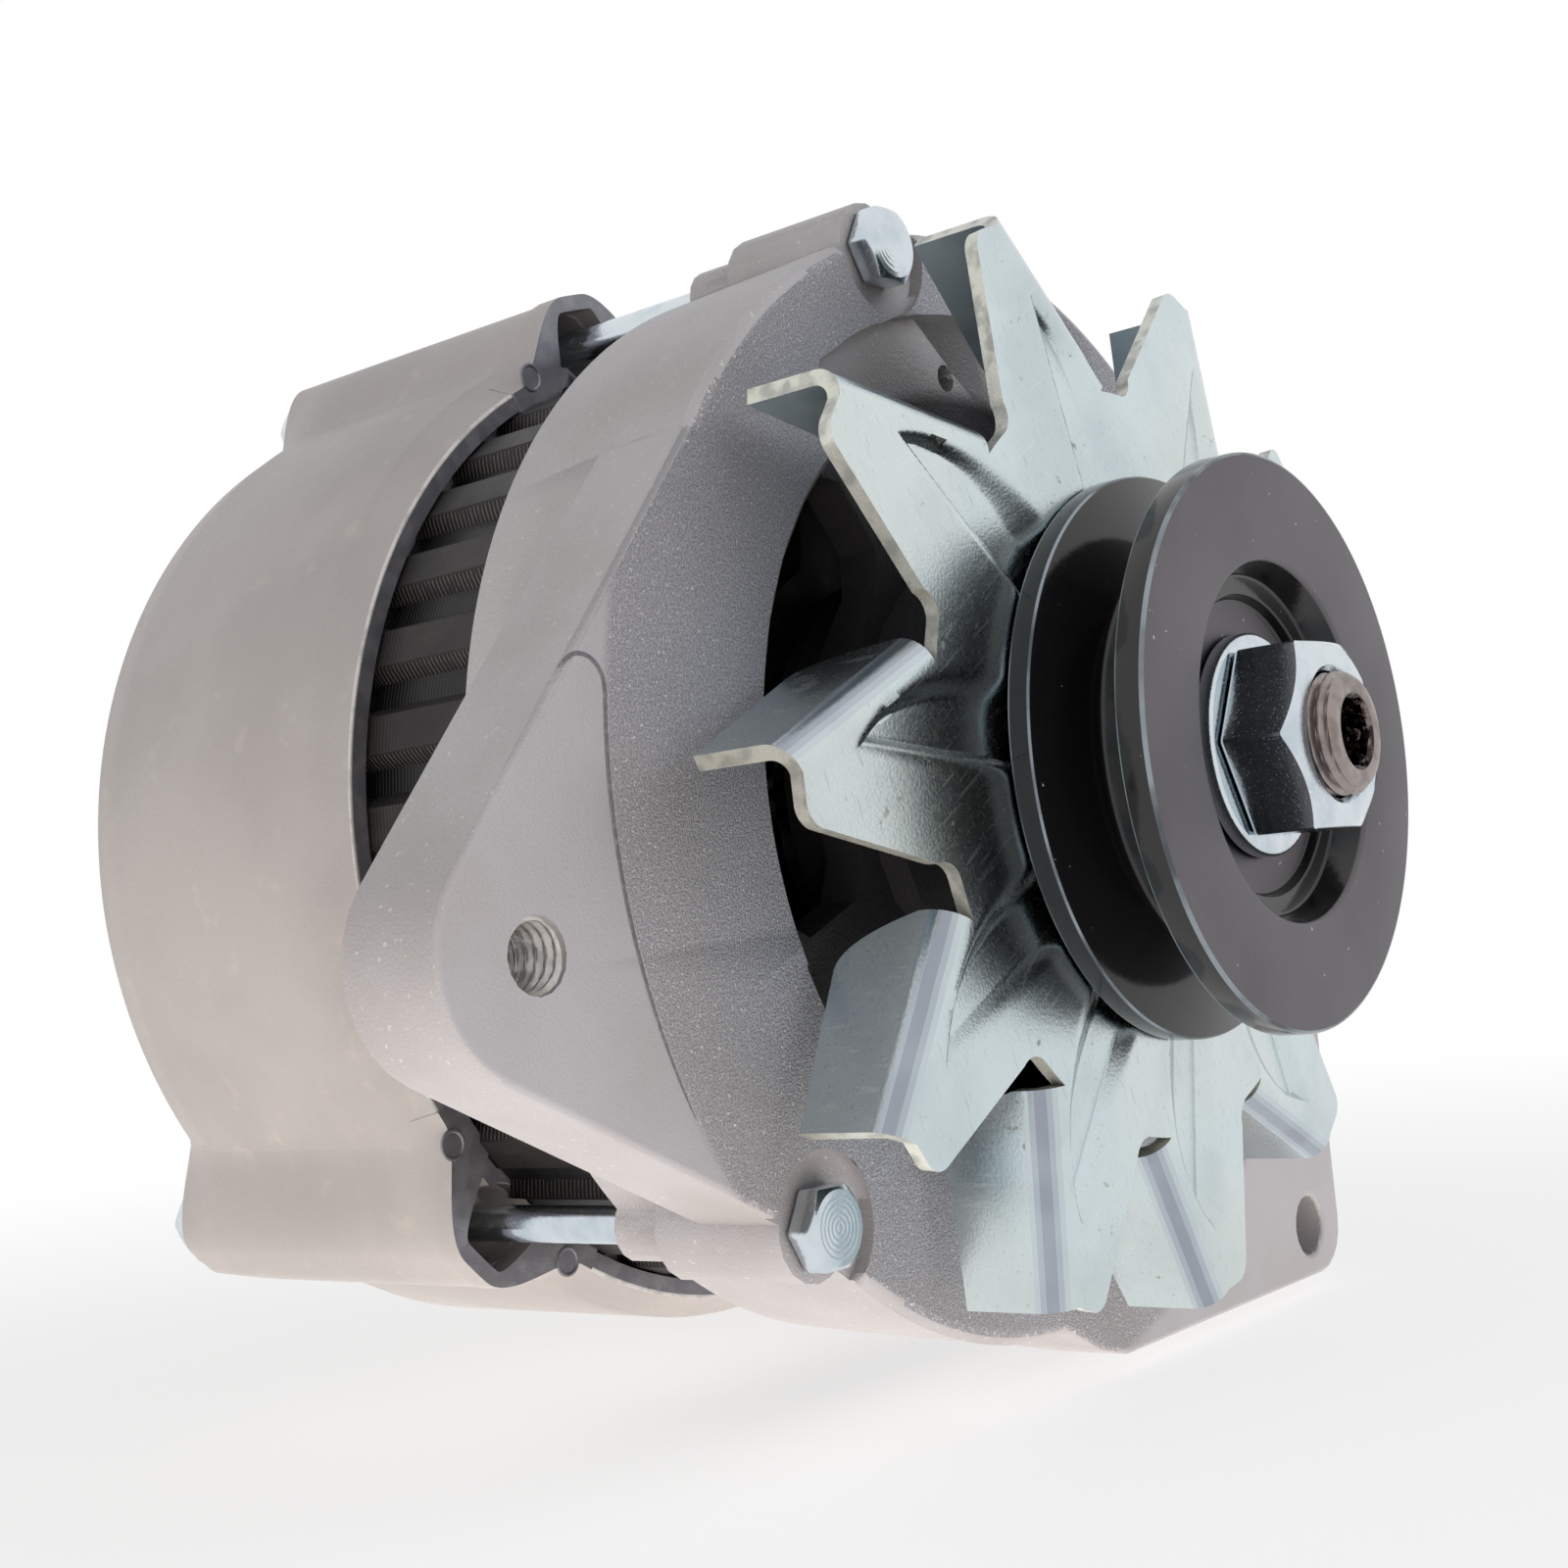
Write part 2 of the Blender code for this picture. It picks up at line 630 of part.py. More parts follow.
def fan_surface():
    """Middle surface of the fan: a hub, petals with pressed triangles and vanes bent to the rear."""
    bm = bmesh.new()
    shape = PetalShape()
    count = len(FAN_ROOT_ANGLES)
    hub_t = FAN_HUB_T + FAN_SHEET / 2.0

    def sheet_vert(point, turn, sunk=False):
        x, z = turned_point(point, turn)
        return bm.verts.new((x, sheet_t(x, z, sunk), z))

    def flat_vert(radius, degrees):
        x, z = polar(radius, degrees)
        return bm.verts.new((x, hub_t, z))

    petals = []
    for turn in FAN_ROOT_ANGLES:
        petals.append({
            "turn": turn,
            "notch": [sheet_vert(p, turn) for p in shape.notch],
            "bend": [sheet_vert(p, turn) for p in shape.bend_line],
            "free": sheet_vert(shape.free_corner, turn),
            "rim": [sheet_vert(p, turn) for p in shape.pocket()],
            "floor": [sheet_vert(p, turn, True) for p in shape.pocket_floor()],
            "hub": [flat_vert(FAN_HUB_R, turn - FAN_POCKET_FROM - 1.5),
                    flat_vert(FAN_HUB_R, turn - FAN_POCKET_TO + 1.5)],
            "bore": [flat_vert(SHAFT_R + FIT, turn - FAN_POCKET_FROM),
                     flat_vert(SHAFT_R + FIT, turn - FAN_POCKET_TO + 4.0)],
        })
    for index, petal in enumerate(petals):
        after = petals[(index + 1) % count]
        before = petals[index - 1]
        rim, floor, bend, free = petal["rim"], petal["floor"], petal["bend"], petal["free"]
        next_edge = after["notch"][0]
        bm.faces.new([before["rim"][-1], *petal["notch"], bend[0], rim[0]])
        bm.faces.new([rim[0], *bend[0:4], rim[1]])
        bm.faces.new([rim[1], *bend[3:], rim[2]])
        bm.faces.new([rim[2], bend[-1], rim[3]])
        bm.faces.new([rim[3], bend[-1], free, rim[4]])
        bm.faces.new([rim[4], free, next_edge, rim[5]])
        for step in range(len(rim) - 1):
            bm.faces.new([rim[step], rim[step + 1], floor[step + 1], floor[step]])
        bm.faces.new([petal["hub"][0], rim[0], floor[0]])
        bm.faces.new([petal["hub"][1], floor[-1], rim[-1]])
        bm.faces.new([petal["hub"][0], *floor, petal["hub"][1]])
        bm.faces.new([petal["hub"][1], rim[-1], after["rim"][0], after["hub"][0]])
        bm.faces.new([petal["bore"][0], petal["hub"][0], petal["hub"][1], petal["bore"][1]])
        bm.faces.new([petal["bore"][1], petal["hub"][1], after["hub"][0], after["bore"][0]])
        add_vane(bm, shape, petal)
    bmesh.ops.triangulate(bm, faces=bm.faces)
    bmesh.ops.recalc_face_normals(bm, faces=bm.faces)
    return bm


def add_vane(bm, shape, petal):
    """Carry the sheet round the bend and back to the vane's rear edge."""
    x, z = turned_point(shape.outward, petal["turn"])
    middle_r = FAN_BEND_INSIDE_R + FAN_SHEET / 2.0
    rows = [petal["bend"]]
    for angle in (45.0, 90.0):
        across = middle_r * math.sin(math.radians(angle))
        back = middle_r * (1.0 - math.cos(math.radians(angle)))
        rows.append([bm.verts.new(v.co + Vector((x * across, back, z * across))) for v in petal["bend"]])
    edge = []
    for vert, (_, share) in zip(rows[-1], shape.stations):
        edge.append(bm.verts.new((vert.co.x, vert.co.y + share * (VANE_REAR_T - vert.co.y), vert.co.z)))
    rows.append(edge)
    for near, far in zip(rows, rows[1:]):
        for step in range(len(near) - 1):
            bm.faces.new([near[step], near[step + 1], far[step + 1], far[step]])


def build_fan(rotor):
    """Pressed sheet fan, thickened from its middle surface."""
    fan = place("cooling_fan", fan_surface(), zinc_plate(), rotor, 30.0)
    wall = fan.modifiers.new("sheet", 'SOLIDIFY')
    wall.thickness = FAN_SHEET * MM
    wall.offset = 0.0
    wall.use_even_offset = True
    wall.use_quality_normals = True


def opening_outline(middle):
    """Air opening of the drive-end bracket: a ring sector with chamfered corners."""
    half = OPENING_SWEEP / 2.0
    outer_trim = math.degrees(OPENING_CORNER / OPENING_R)
    inner_trim = math.degrees(OPENING_CORNER / OPENING_INNER_R)
    outer = arc(0, 0, OPENING_R, middle - half + outer_trim, middle + half - outer_trim, 9)
    inner = arc(0, 0, OPENING_INNER_R, middle + half - inner_trim, middle - half + inner_trim, 6)
    return [polar(OPENING_R - OPENING_CORNER, middle - half), *outer,
            polar(OPENING_R - OPENING_CORNER, middle + half),
            polar(OPENING_INNER_R + OPENING_CORNER, middle + half), *inner,
            polar(OPENING_INNER_R + OPENING_CORNER, middle - half)]


def dish_outline(middle):
    """Recess in the front of a spoke, out to the bolt's pocket."""
    half = DISH_SWEEP / 2.0
    trim = math.degrees(OPENING_CORNER / DISH_OUTER_R)
    outer = arc(0, 0, DISH_OUTER_R, middle - half + trim, middle + half - trim, 7)
    return [polar(DISH_OUTER_R - OPENING_CORNER, middle - half), *outer,
            polar(DISH_OUTER_R - OPENING_CORNER, middle + half),
            polar(DRIVE_HUB_R + 1.0, middle + half), polar(DRIVE_HUB_R + 1.0, middle - half)]


def ear_outline():
    """Adjusting ear: straight sides from the ring to a round tip about the threaded hole."""
    tip = arc(EAR_HOLE_X, EAR_HOLE_Z, EAR_TIP_R, EAR_TOP_LEAN, EAR_LOW_LEAN, 9)
    root = arc(0, 0, LUG_ROOT_R, EAR_LOW_ANGLE, EAR_TOP_ANGLE, 7)
    return [polar(RING_OUTER_R - FIT, EAR_TOP_ANGLE), *tip, polar(RING_OUTER_R + 1.5, EAR_LOW_ANGLE), *root]


def lug_outline():
    """Pivot lug: a square-cornered foot at the lower right that runs into the ring."""
    side_x = LUG_HOLE_X + LUG_SIDE
    foot_z = LUG_HOLE_Z - LUG_FOOT
    corner = arc(side_x - LUG_CORNER_R, foot_z + LUG_CORNER_R, LUG_CORNER_R, 90.0, 180.0, 6)
    shoulder = arc(side_x - LUG_CORNER_R * 1.5, LUG_TOP_Z, LUG_CORNER_R * 1.5, 50.0, 90.0, 4)
    foot = [(LUG_FOOT_FROM_X, foot_z), (LUG_FOOT_FROM_X * 0.5, foot_z + 2.2)]
    root = arc(0, 0, LUG_ROOT_R, LUG_FOOT_ANGLE, LUG_TOP_ANGLE, 9)
    return [polar(RING_OUTER_R - FIT, LUG_TOP_ANGLE), *shoulder, *corner, *foot,
            polar(RING_OUTER_R - FIT, LUG_FOOT_ANGLE), *root]


def build_drive_end_bracket(body):
    """Front bracket: hub, three spokes, ring, skirt, bolt bosses, adjusting ear and pivot lug."""
    shell = turned([(HUB_PASSAGE_R, HUB_FRONT_T), (DRIVE_HUB_R, HUB_FRONT_T), (DRIVE_HUB_R, WEB_FRONT_T),
                    (OPENING_R + 1.0 - WEB_RAMP, WEB_FRONT_T), (OPENING_R + 1.0, RING_FRONT_T),
                    (RING_OUTER_R - RING_EDGE, RING_FRONT_T), (RING_OUTER_R, RING_FRONT_T + RING_EDGE),
                    (SKIRT_REAR_R, SKIRT_REAR_T), (SKIRT_BORE_R, SKIRT_REAR_T),
                    (SKIRT_BORE_R, WEB_REAR_T + WEB_RAMP), (SKIRT_BORE_R - WEB_RAMP, WEB_REAR_T),
                    (DRIVE_HUB_R, WEB_REAR_T), (DRIVE_HUB_R, HUB_REAR_T),
                    (FRONT_BEARING_R + FIT, HUB_REAR_T), (FRONT_BEARING_R + FIT, FRONT_BEARING_T - FIT),
                    (HUB_PASSAGE_R, FRONT_BEARING_T - FIT)], FINE)
    bosses = [round_bar(*polar(BOLT_CIRCLE_R, angle), FRONT_BOSS_R, RING_FRONT_T, FRONT_BOSS_REAR_T)
              for angle in BOLT_ANGLES]
    bosses += [round_bar(*polar(BOLT_CIRCLE_R, angle), FRONT_WAIST_R, FRONT_BOSS_REAR_T - SINK, SKIRT_REAR_T)
               for angle in BOLT_ANGLES]
    ear = prism(ear_outline(), RING_FRONT_T, RING_FRONT_T + EAR_THICK)
    lug = prism(lug_outline(), RING_FRONT_T, RING_FRONT_T + LUG_THICK)
    shell = join(shell, ear, lug, *bosses)
    openings = [prism(opening_outline(angle), HUB_FRONT_T - OVERRUN, WEB_REAR_T + OVERRUN)
                for angle in OPENING_ANGLES]
    openings += [prism(dish_outline(angle), RING_FRONT_T - OVERRUN, WEB_FRONT_T) for angle in BOLT_ANGLES]
    shell = cut(shell, *openings)
    pockets = [round_bar(*polar(BOLT_CIRCLE_R, angle), BOLT_POCKET_R, RING_FRONT_T - OVERRUN, BOLT_FLOOR_T)
               for angle in BOLT_ANGLES]
    shell = cut(shell, *pockets)
    seat = round_bar(0, 0, SEAT_R, CORE_FRONT_T - FIT, SKIRT_REAR_T + OVERRUN, FINE)
    shell = cut(shell, seat)
    holes = [round_bar(*polar(BOLT_CIRCLE_R, angle), BOLT_HOLE_R, BOLT_FLOOR_T - OVERRUN,
                       SKIRT_REAR_T + OVERRUN, 12) for angle in BOLT_ANGLES]
    holes += [round_bar(*polar(RETAINER_CIRCLE_R, angle), RETAINER_SCREW_R + FIT,
                        HUB_REAR_T - RETAINER_SCREW_DEPTH - FIT, HUB_REAR_T + OVERRUN, 10)
              for angle in RETAINER_ANGLES]
    holes += [round_bar(*polar(DISH_HOLE_CIRCLE_R, angle + DISH_HOLE_SWEEP), DISH_HOLE_R,
                        WEB_FRONT_T - OVERRUN, WEB_FRONT_T + DISH_HOLE_DEPTH, 12) for angle in BOLT_ANGLES]
    holes.append(round_bar(EAR_HOLE_X, EAR_HOLE_Z, EAR_HOLE_R, RING_FRONT_T - OVERRUN,
                           RING_FRONT_T + EAR_THICK + OVERRUN))
    holes.append(round_bar(LUG_HOLE_X, LUG_HOLE_Z, LUG_HOLE_R, RING_FRONT_T - OVERRUN,
                           RING_FRONT_T + LUG_THICK + OVERRUN))
    place("drive_end_bracket", cut(shell, *holes), cast_aluminium(), body)


def rear_lug_outline():
    """Rear pivot lug: a round eye joined to the bell by tapering sides."""
    aim = math.degrees(math.atan2(LUG_HOLE_X, LUG_HOLE_Z))
    eye = arc(LUG_HOLE_X, LUG_HOLE_Z, REAR_LUG_R, aim - 80.0, aim + 80.0, 9)
    root = arc(0, 0, LUG_ROOT_R, aim + REAR_LUG_SPREAD, aim - REAR_LUG_SPREAD, 5)
    return [*eye, *root]


def vent_outline(angle):
    """Air slot in the rear wall, a radial slot with round ends."""
    inner_x, inner_z = polar(VENT_INNER_R + VENT_HALF, angle)
    outer_x, outer_z = polar(VENT_OUTER_R - VENT_HALF, angle)
    return [*arc(outer_x, outer_z, VENT_HALF, angle - 90.0, angle + 90.0, 4),
            *arc(inner_x, inner_z, VENT_HALF, angle + 90.0, angle + 270.0, 4)]


def build_slip_ring_end_bracket(body):
    """Rear bracket: rim, bell with bolt tubes, vented end wall, bearing hub and pivot lug."""
    hub_r = REAR_BEARING_R + FIT + REAR_HUB_WALL
    pocket_rear = REAR_BEARING_END_T + 1.6
    inner_r = BELL_R - BELL_WALL
    outer_curve = [(BELL_R - BELL_SHOULDER_R + x, BELL_REAR_T - BELL_SHOULDER_R + z)
                   for x, z in arc(0, 0, BELL_SHOULDER_R, 90.0, 0.0, 5)]
    inner_bend = BELL_SHOULDER_R - BELL_WALL
    inner_curve = [(inner_r - inner_bend + x, BELL_INNER_REAR_T - inner_bend + z)
                   for x, z in arc(0, 0, inner_bend, 0.0, 90.0, 4)]
    lip_rear = CORE_REAR_T + FIT + SEAT_LIP
    shell = turned([(SEAT_LIP_R, BELL_FRONT_T), (BELL_RIM_INNER_R, BELL_FRONT_T),
                    (BELL_RIM_R, BELL_FRONT_T + BELL_RIM), (BELL_R, BELL_FRONT_T + BELL_RIM + 2.0),
                    *outer_curve, (hub_r, BELL_REAR_T), (hub_r, pocket_rear + REAR_CAP - 1.0),
                    (hub_r - 1.0, pocket_rear + REAR_CAP), (0.0, pocket_rear + REAR_CAP), (0.0, pocket_rear),
                    (REAR_BEARING_R + FIT, pocket_rear), (REAR_BEARING_R + FIT, REAR_BEARING_T - FIT),
                    (hub_r, REAR_BEARING_T - FIT), (hub_r, BELL_INNER_REAR_T), *inner_curve,
                    (inner_r, lip_rear + BELL_WALL), (SEAT_LIP_R, lip_rear)], FINE)
    tubes = [round_bar(*polar(BOLT_CIRCLE_R, angle), BOSS_R, BELL_FRONT_T + BELL_RIM, TUBE_REAR_T)
             for angle in BOLT_ANGLES]
    lug = prism(rear_lug_outline(), REAR_LUG_T, REAR_LUG_T + REAR_LUG_THICK)
    posts = [round_bar(*polar(POST_CIRCLE_R, angle), POST_R, LOWER_PLATE_REAR_T + FIT,
                       BELL_INNER_REAR_T + SINK, 12) for angle in POST_ANGLES]
    shell = join(shell, *tubes, lug, *posts)
    seat = round_bar(0, 0, SEAT_R, BELL_FRONT_T - OVERRUN, CORE_REAR_T + FIT, FINE)
    shell = cut(shell, seat)
    vents = [prism(vent_outline(360.0 * index / VENTS), BELL_INNER_REAR_T - OVERRUN, BELL_REAR_T + OVERRUN)
             for index in range(VENTS)]
    scallops = [round_bar(*polar(BOLT_CIRCLE_R, angle), SCALLOP_R, BELL_FRONT_T - OVERRUN, SCALLOP_REAR_T)
                for angle in BOLT_ANGLES]
    shell = cut(shell, *vents, *scallops)
    holes = [round_bar(*polar(BOLT_CIRCLE_R, angle), BOLT_HOLE_R, BELL_FRONT_T - OVERRUN,
                       TUBE_REAR_T + OVERRUN, 12) for angle in BOLT_ANGLES]
    holes += [round_bar(*polar(POST_CIRCLE_R, angle), POST_SCREW_R + FIT, LOWER_PLATE_REAR_T - OVERRUN,
                        LOWER_PLATE_REAR_T + POST_SCREW_DEPTH + 2 * FIT, 10) for angle in POST_ANGLES]
    holes.append(round_bar(LUG_HOLE_X, LUG_HOLE_Z, LUG_HOLE_R, REAR_LUG_T - OVERRUN,
                           REAR_LUG_T + REAR_LUG_THICK + OVERRUN))
    holes.append(round_bar(*polar(STUD_CIRCLE_R, STUD_ANGLE), INSULATOR_R + FIT,
                           BELL_INNER_REAR_T - OVERRUN, BELL_REAR_T + OVERRUN))
    place("slip_ring_end_bracket", cut(shell, *holes), cast_aluminium(), body)


def build_stator_core(body):
    """Lamination stack with ribs outside and winding slots inside."""
    pitch = 360.0 / SLOTS
    rib = pitch * RIB_SHARE / 2.0
    outside = []
    inside = []
    for index in range(SLOTS):
        middle = pitch * index
        outside += [polar(CORE_R - RIB_DEPTH, middle - rib - 0.6), polar(CORE_R, middle - rib),
                    polar(CORE_R, middle + rib), polar(CORE_R - RIB_DEPTH, middle + rib + 0.6)]
        slot = [(-SLOT_MOUTH_HALF, CORE_BORE_R), (-SLOT_HALF, SLOT_NECK_R), (-SLOT_HALF, SLOT_FLOOR_R),
                (SLOT_HALF, SLOT_FLOOR_R), (SLOT_HALF, SLOT_NECK_R), (SLOT_MOUTH_HALF, CORE_BORE_R)]
        inside += [turned_point(point, middle) for point in slot]
    stack = prism(outside, CORE_FRONT_T, CORE_REAR_T)
    bore = prism(inside, CORE_FRONT_T - OVERRUN, CORE_REAR_T + OVERRUN)
    place("stator_core", cut(stack, bore), laminated_steel(), body)


def build_stator_winding(body):
    """Three-phase winding as one solid: two rings of end turns joined by a bar in each slot."""
    bar_r = (SLOT_NECK_R + 0.8, SLOT_FLOOR_R - 0.4)
    half = math.degrees((SLOT_HALF - FIT) / bar_r[1])
    bm = bmesh.new()

    def ring_rows(near_t, far_t):
        rows = []
        for index in range(SLOTS):
            for side in (-half, half):
                angle = 360.0 * index / SLOTS + side
                profile = [(bar_r[0], near_t), (bar_r[1], near_t), (bar_r[1] + END_TURN_SWELL, far_t),
                           (bar_r[0], far_t)]
                rows.append([bm.verts.new((polar(r, angle)[0], t, polar(r, angle)[1])) for r, t in profile])
        return rows

    front = ring_rows(CORE_FRONT_T - FIT, CORE_FRONT_T - FIT - END_TURN_LENGTH)
    rear = ring_rows(CORE_REAR_T + FIT, CORE_REAR_T + FIT + END_TURN_LENGTH)
    count = 2 * SLOTS
    for index in range(count):
        after = (index + 1) % count
        in_slot = index % 2 == 0
        for rows in (front, rear):
            for side in range(4):
                if side == 0 and in_slot:
                    continue
                low, high = rows[index], rows[after]
                bm.faces.new([low[side], low[(side + 1) % 4], high[(side + 1) % 4], high[side]])
        if in_slot:
            corners = [(index, 0), (index, 1), (after, 1), (after, 0)]
            for step in range(4):
                a, b = corners[step], corners[(step + 1) % 4]
                bm.faces.new([front[a[0]][a[1]], front[b[0]][b[1]], rear[b[0]][b[1]], rear[a[0]][a[1]]])
    bmesh.ops.recalc_face_normals(bm, faces=bm.faces)
    place("stator_winding", bm, copper_enamel(), body)


def claw_pole(disc_t, finger_t, phase):
    """Pole plate with tapered fingers that run from its arms along the coil."""
    inner_side = disc_t + math.copysign(POLE_DISC, finger_t - disc_t)
    bm = bmesh.new()
    arm_step = 360.0 / FINGERS
    root_angles = [FINGER_ROOT_HALF * share for share in (-1.0, -0.5, 0.0, 0.5, 1.0)]
    front = []
    back = []
    arms = []
    for index in range(FINGERS):
        middle = phase + arm_step * index
        valley = [polar(VALLEY_R, middle - arm_step / 2.0), polar(VALLEY_R, middle - arm_step / 2.0 + VALLEY_HALF)]
        outer = [polar(FINGER_ROOT_R, middle - FINGER_ROOT_HALF)]
        outer += [polar(ROTOR_R, middle + angle) for angle in root_angles]
        outer += [polar(FINGER_ROOT_R, middle + FINGER_ROOT_HALF)]
        last = polar(VALLEY_R, middle + arm_step / 2.0 - VALLEY_HALF)
        points = [*valley, *outer, last]
        front += [bm.verts.new((x, disc_t, z)) for x, z in points]
        here = [bm.verts.new((x, inner_side, z)) for x, z in points]
        under = bm.verts.new((polar(FINGER_ROOT_R, middle)[0], inner_side, polar(FINGER_ROOT_R, middle)[1]))
        back += here
        arms.append((middle, here, under))
    bm.faces.new(front)
    total = len(front)
    for index in range(total):
        after = (index + 1) % total
        bm.faces.new([front[index], front[after], back[after], back[index]])
    inner_ring = []
    for middle, here, under in arms:
        inner_ring += [here[0], here[1], here[2], under, here[8], here[9]]
        add_finger(bm, here[2:9], under, middle, finger_t)
    bm.faces.new(inner_ring)
    bmesh.ops.recalc_face_normals(bm, faces=bm.faces)
    bore = round_bar(0, 0, ROTOR_SEAT_R + FIT, min(disc_t, inner_side) - OVERRUN,
                     max(disc_t, inner_side) + OVERRUN, 24)
    return cut(bm, bore)


def add_finger(bm, root, under, middle, tip_t):
    """One claw: sides and end of the taper from an arm's inner face to the finger's tip."""
    shares = (-1.0, -0.5, 0.0, 0.5, 1.0)
    tip_points = [polar(FINGER_TIP_R, middle - FINGER_TIP_HALF)]
    tip_points += [polar(ROTOR_R, middle + FINGER_TIP_HALF * share) for share in shares]
    tip_points += [polar(FINGER_TIP_R, middle + FINGER_TIP_HALF), polar(FINGER_TIP_R, middle)]
    tip = [bm.verts.new((x, tip_t, z)) for x, z in tip_points]
    start = [*root, under]
    for index in range(len(start)):
        after = (index + 1) % len(start)
        bm.faces.new([start[index], start[after], tip[after], tip[index]])
    bm.faces.new(tip)


def build_rotor_field(rotor):
    """Claw poles, the iron core between them, and the field coil on its bobbin."""
    front_inner = POLE_FRONT_T + POLE_DISC
    rear_inner = POLE_REAR_T - POLE_DISC
    place("front_claw_pole", claw_pole(POLE_FRONT_T, POLE_REAR_T - FINGER_END_GAP, 0.0),
          laminated_steel(), rotor)
    place("rear_claw_pole", claw_pole(POLE_REAR_T, POLE_FRONT_T + FINGER_END_GAP, 180.0 / FINGERS),
          laminated_steel(), rotor)
    core = tube(ROTOR_SEAT_R + FIT, ROTOR_CORE_R, front_inner + FIT, rear_inner - FIT, 20)
    place("rotor_core", core, laminated_steel(), rotor)
    low = front_inner + FIT
    high = rear_inner - FIT
    inner = ROTOR_CORE_R + FIT
    bobbin = turned([(inner, low), (BOBBIN_R, low), (BOBBIN_R, low + BOBBIN_WALL),
                     (inner + BOBBIN_WALL, low + BOBBIN_WALL), (inner + BOBBIN_WALL, high - BOBBIN_WALL),
                     (BOBBIN_R, high - BOBBIN_WALL), (BOBBIN_R, high), (inner, high)], 20)
    place("coil_bobbin", bobbin, black_plastic(), rotor)
    coil = tube(inner + BOBBIN_WALL + FIT, BOBBIN_R - FIT, low + BOBBIN_WALL + FIT,
                high - BOBBIN_WALL - FIT, 20)
    place("field_coil", coil, copper_enamel(), rotor)


def build_slip_rings(rotor):
    """Insulating sleeve with flanges and the two copper slip rings on it."""
    sleeve_r = SLIP_RING_INNER_R - FIT
    bore = SLIP_SEAT_R + FIT
    first_end = SLIP_RING_T + SLIP_RING_WIDTH
    second = SLIP_RING_T + SLIP_PITCH
    second_end = second + SLIP_RING_WIDTH
    rear = second_end + FIT + SLIP_FLANGE
    sleeve = turned([(bore, SLIP_SLEEVE_T), (SLIP_FLANGE_R, SLIP_SLEEVE_T),
                     (SLIP_FLANGE_R, SLIP_RING_T - FIT), (sleeve_r, SLIP_RING_T - FIT),
                     (sleeve_r, first_end + FIT), (SLIP_FLANGE_R, first_end + FIT),
                     (SLIP_FLANGE_R, second - FIT), (sleeve_r, second - FIT), (sleeve_r, second_end + FIT),
                     (SLIP_FLANGE_R, second_end + FIT), (SLIP_FLANGE_R, rear), (bore, rear)], COARSE)
    place("slip_ring_sleeve", sleeve, black_plastic(), rotor)
    for number, start in ((1, SLIP_RING_T), (2, second)):
        ring = tube(SLIP_RING_INNER_R, SLIP_RING_R, start, start + SLIP_RING_WIDTH, 20)
        place(f"slip_ring_{number}", ring, bright_copper(), rotor)


def build_bearing(name, body, rotor, cage, front, width, bore_r, outer_r):
    """Ball bearing: outer race, inner race, and a cage with its balls as one piece."""
    race = (outer_r - bore_r) * RACE_SHARE
    inner_edge = bore_r + race
    outer_edge = outer_r - race
    rear = front + width
    place(f"{name}_outer_race", tube(outer_edge, outer_r, front, rear, MEDIUM), bare_steel(), body)
    place(f"{name}_inner_race", tube(bore_r, inner_edge, front, rear, MEDIUM), bare_steel(), rotor)
    middle_r = (inner_edge + outer_edge) / 2.0
    ball_r = (outer_edge - inner_edge) / 2.0 - FIT
    middle_t = (front + rear) / 2.0
    ring = tube(middle_r - ball_r * CAGE_SHARE * 0.6, middle_r + ball_r * CAGE_SHARE * 0.6,
                middle_t - ball_r * 0.75, middle_t + ball_r * 0.75, 14)
    balls = []
    for index in range(BALLS):
        ball = bmesh.new()
        bmesh.ops.create_uvsphere(ball, u_segments=6, v_segments=4, radius=ball_r)
        x, z = polar(middle_r, 360.0 * index / BALLS)
        bmesh.ops.translate(ball, verts=ball.verts, vec=(x, middle_t, z))
        balls.append(ball)
    place(f"{name}_balls", combine(ring, merged(balls), 'UNION'), bare_steel(), cage)


def build_retainer(body):
    """Plate that keeps the front bearing in its hub, and its three screws."""
    plate = tube(HUB_PASSAGE_R, DRIVE_HUB_R - FIT, RETAINER_T, RETAINER_REAR_T, MEDIUM)
    holes = [round_bar(*polar(RETAINER_CIRCLE_R, angle), RETAINER_SCREW_R + FIT, RETAINER_T - OVERRUN,
                       RETAINER_REAR_T + OVERRUN, 10) for angle in RETAINER_ANGLES]
    place("bearing_retainer", cut(plate, *holes), zinc_plate(), body)
    head_t = RETAINER_REAR_T + FIT
    for number, angle in enumerate(RETAINER_ANGLES, start=1):
        x, z = polar(RETAINER_CIRCLE_R, angle)
        shank = round_bar(x, z, RETAINER_SCREW_R, HUB_REAR_T - RETAINER_SCREW_DEPTH, head_t + SINK, 10)
        head = round_bar(x, z, RETAINER_HEAD_R, head_t, head_t + RETAINER_HEAD, 14)
        place(f"retainer_screw_{number}", join(shank, head), zinc_plate(), body)


def hex_head(x, z, across_flats, front, rear):
    """Hexagonal head or nut blank with its front corners taken off."""
    bm = bmesh.new()
    edge = (rear - front) * 0.16
    rows = []
    for size, t in ((0.86, front), (1.0, front + edge), (1.0, rear)):
        rows.append([bm.verts.new((px, t, pz)) for px, pz in hexagon(x, z, across_flats * size)])
    for near, far in zip(rows, rows[1:]):
        for step in range(6):
            after = (step + 1) % 6
            bm.faces.new([near[step], near[after], far[after], far[step]])
    bm.faces.new(rows[0])
    bm.faces.new(rows[-1])
    bmesh.ops.recalc_face_normals(bm, faces=bm.faces)
    return bm


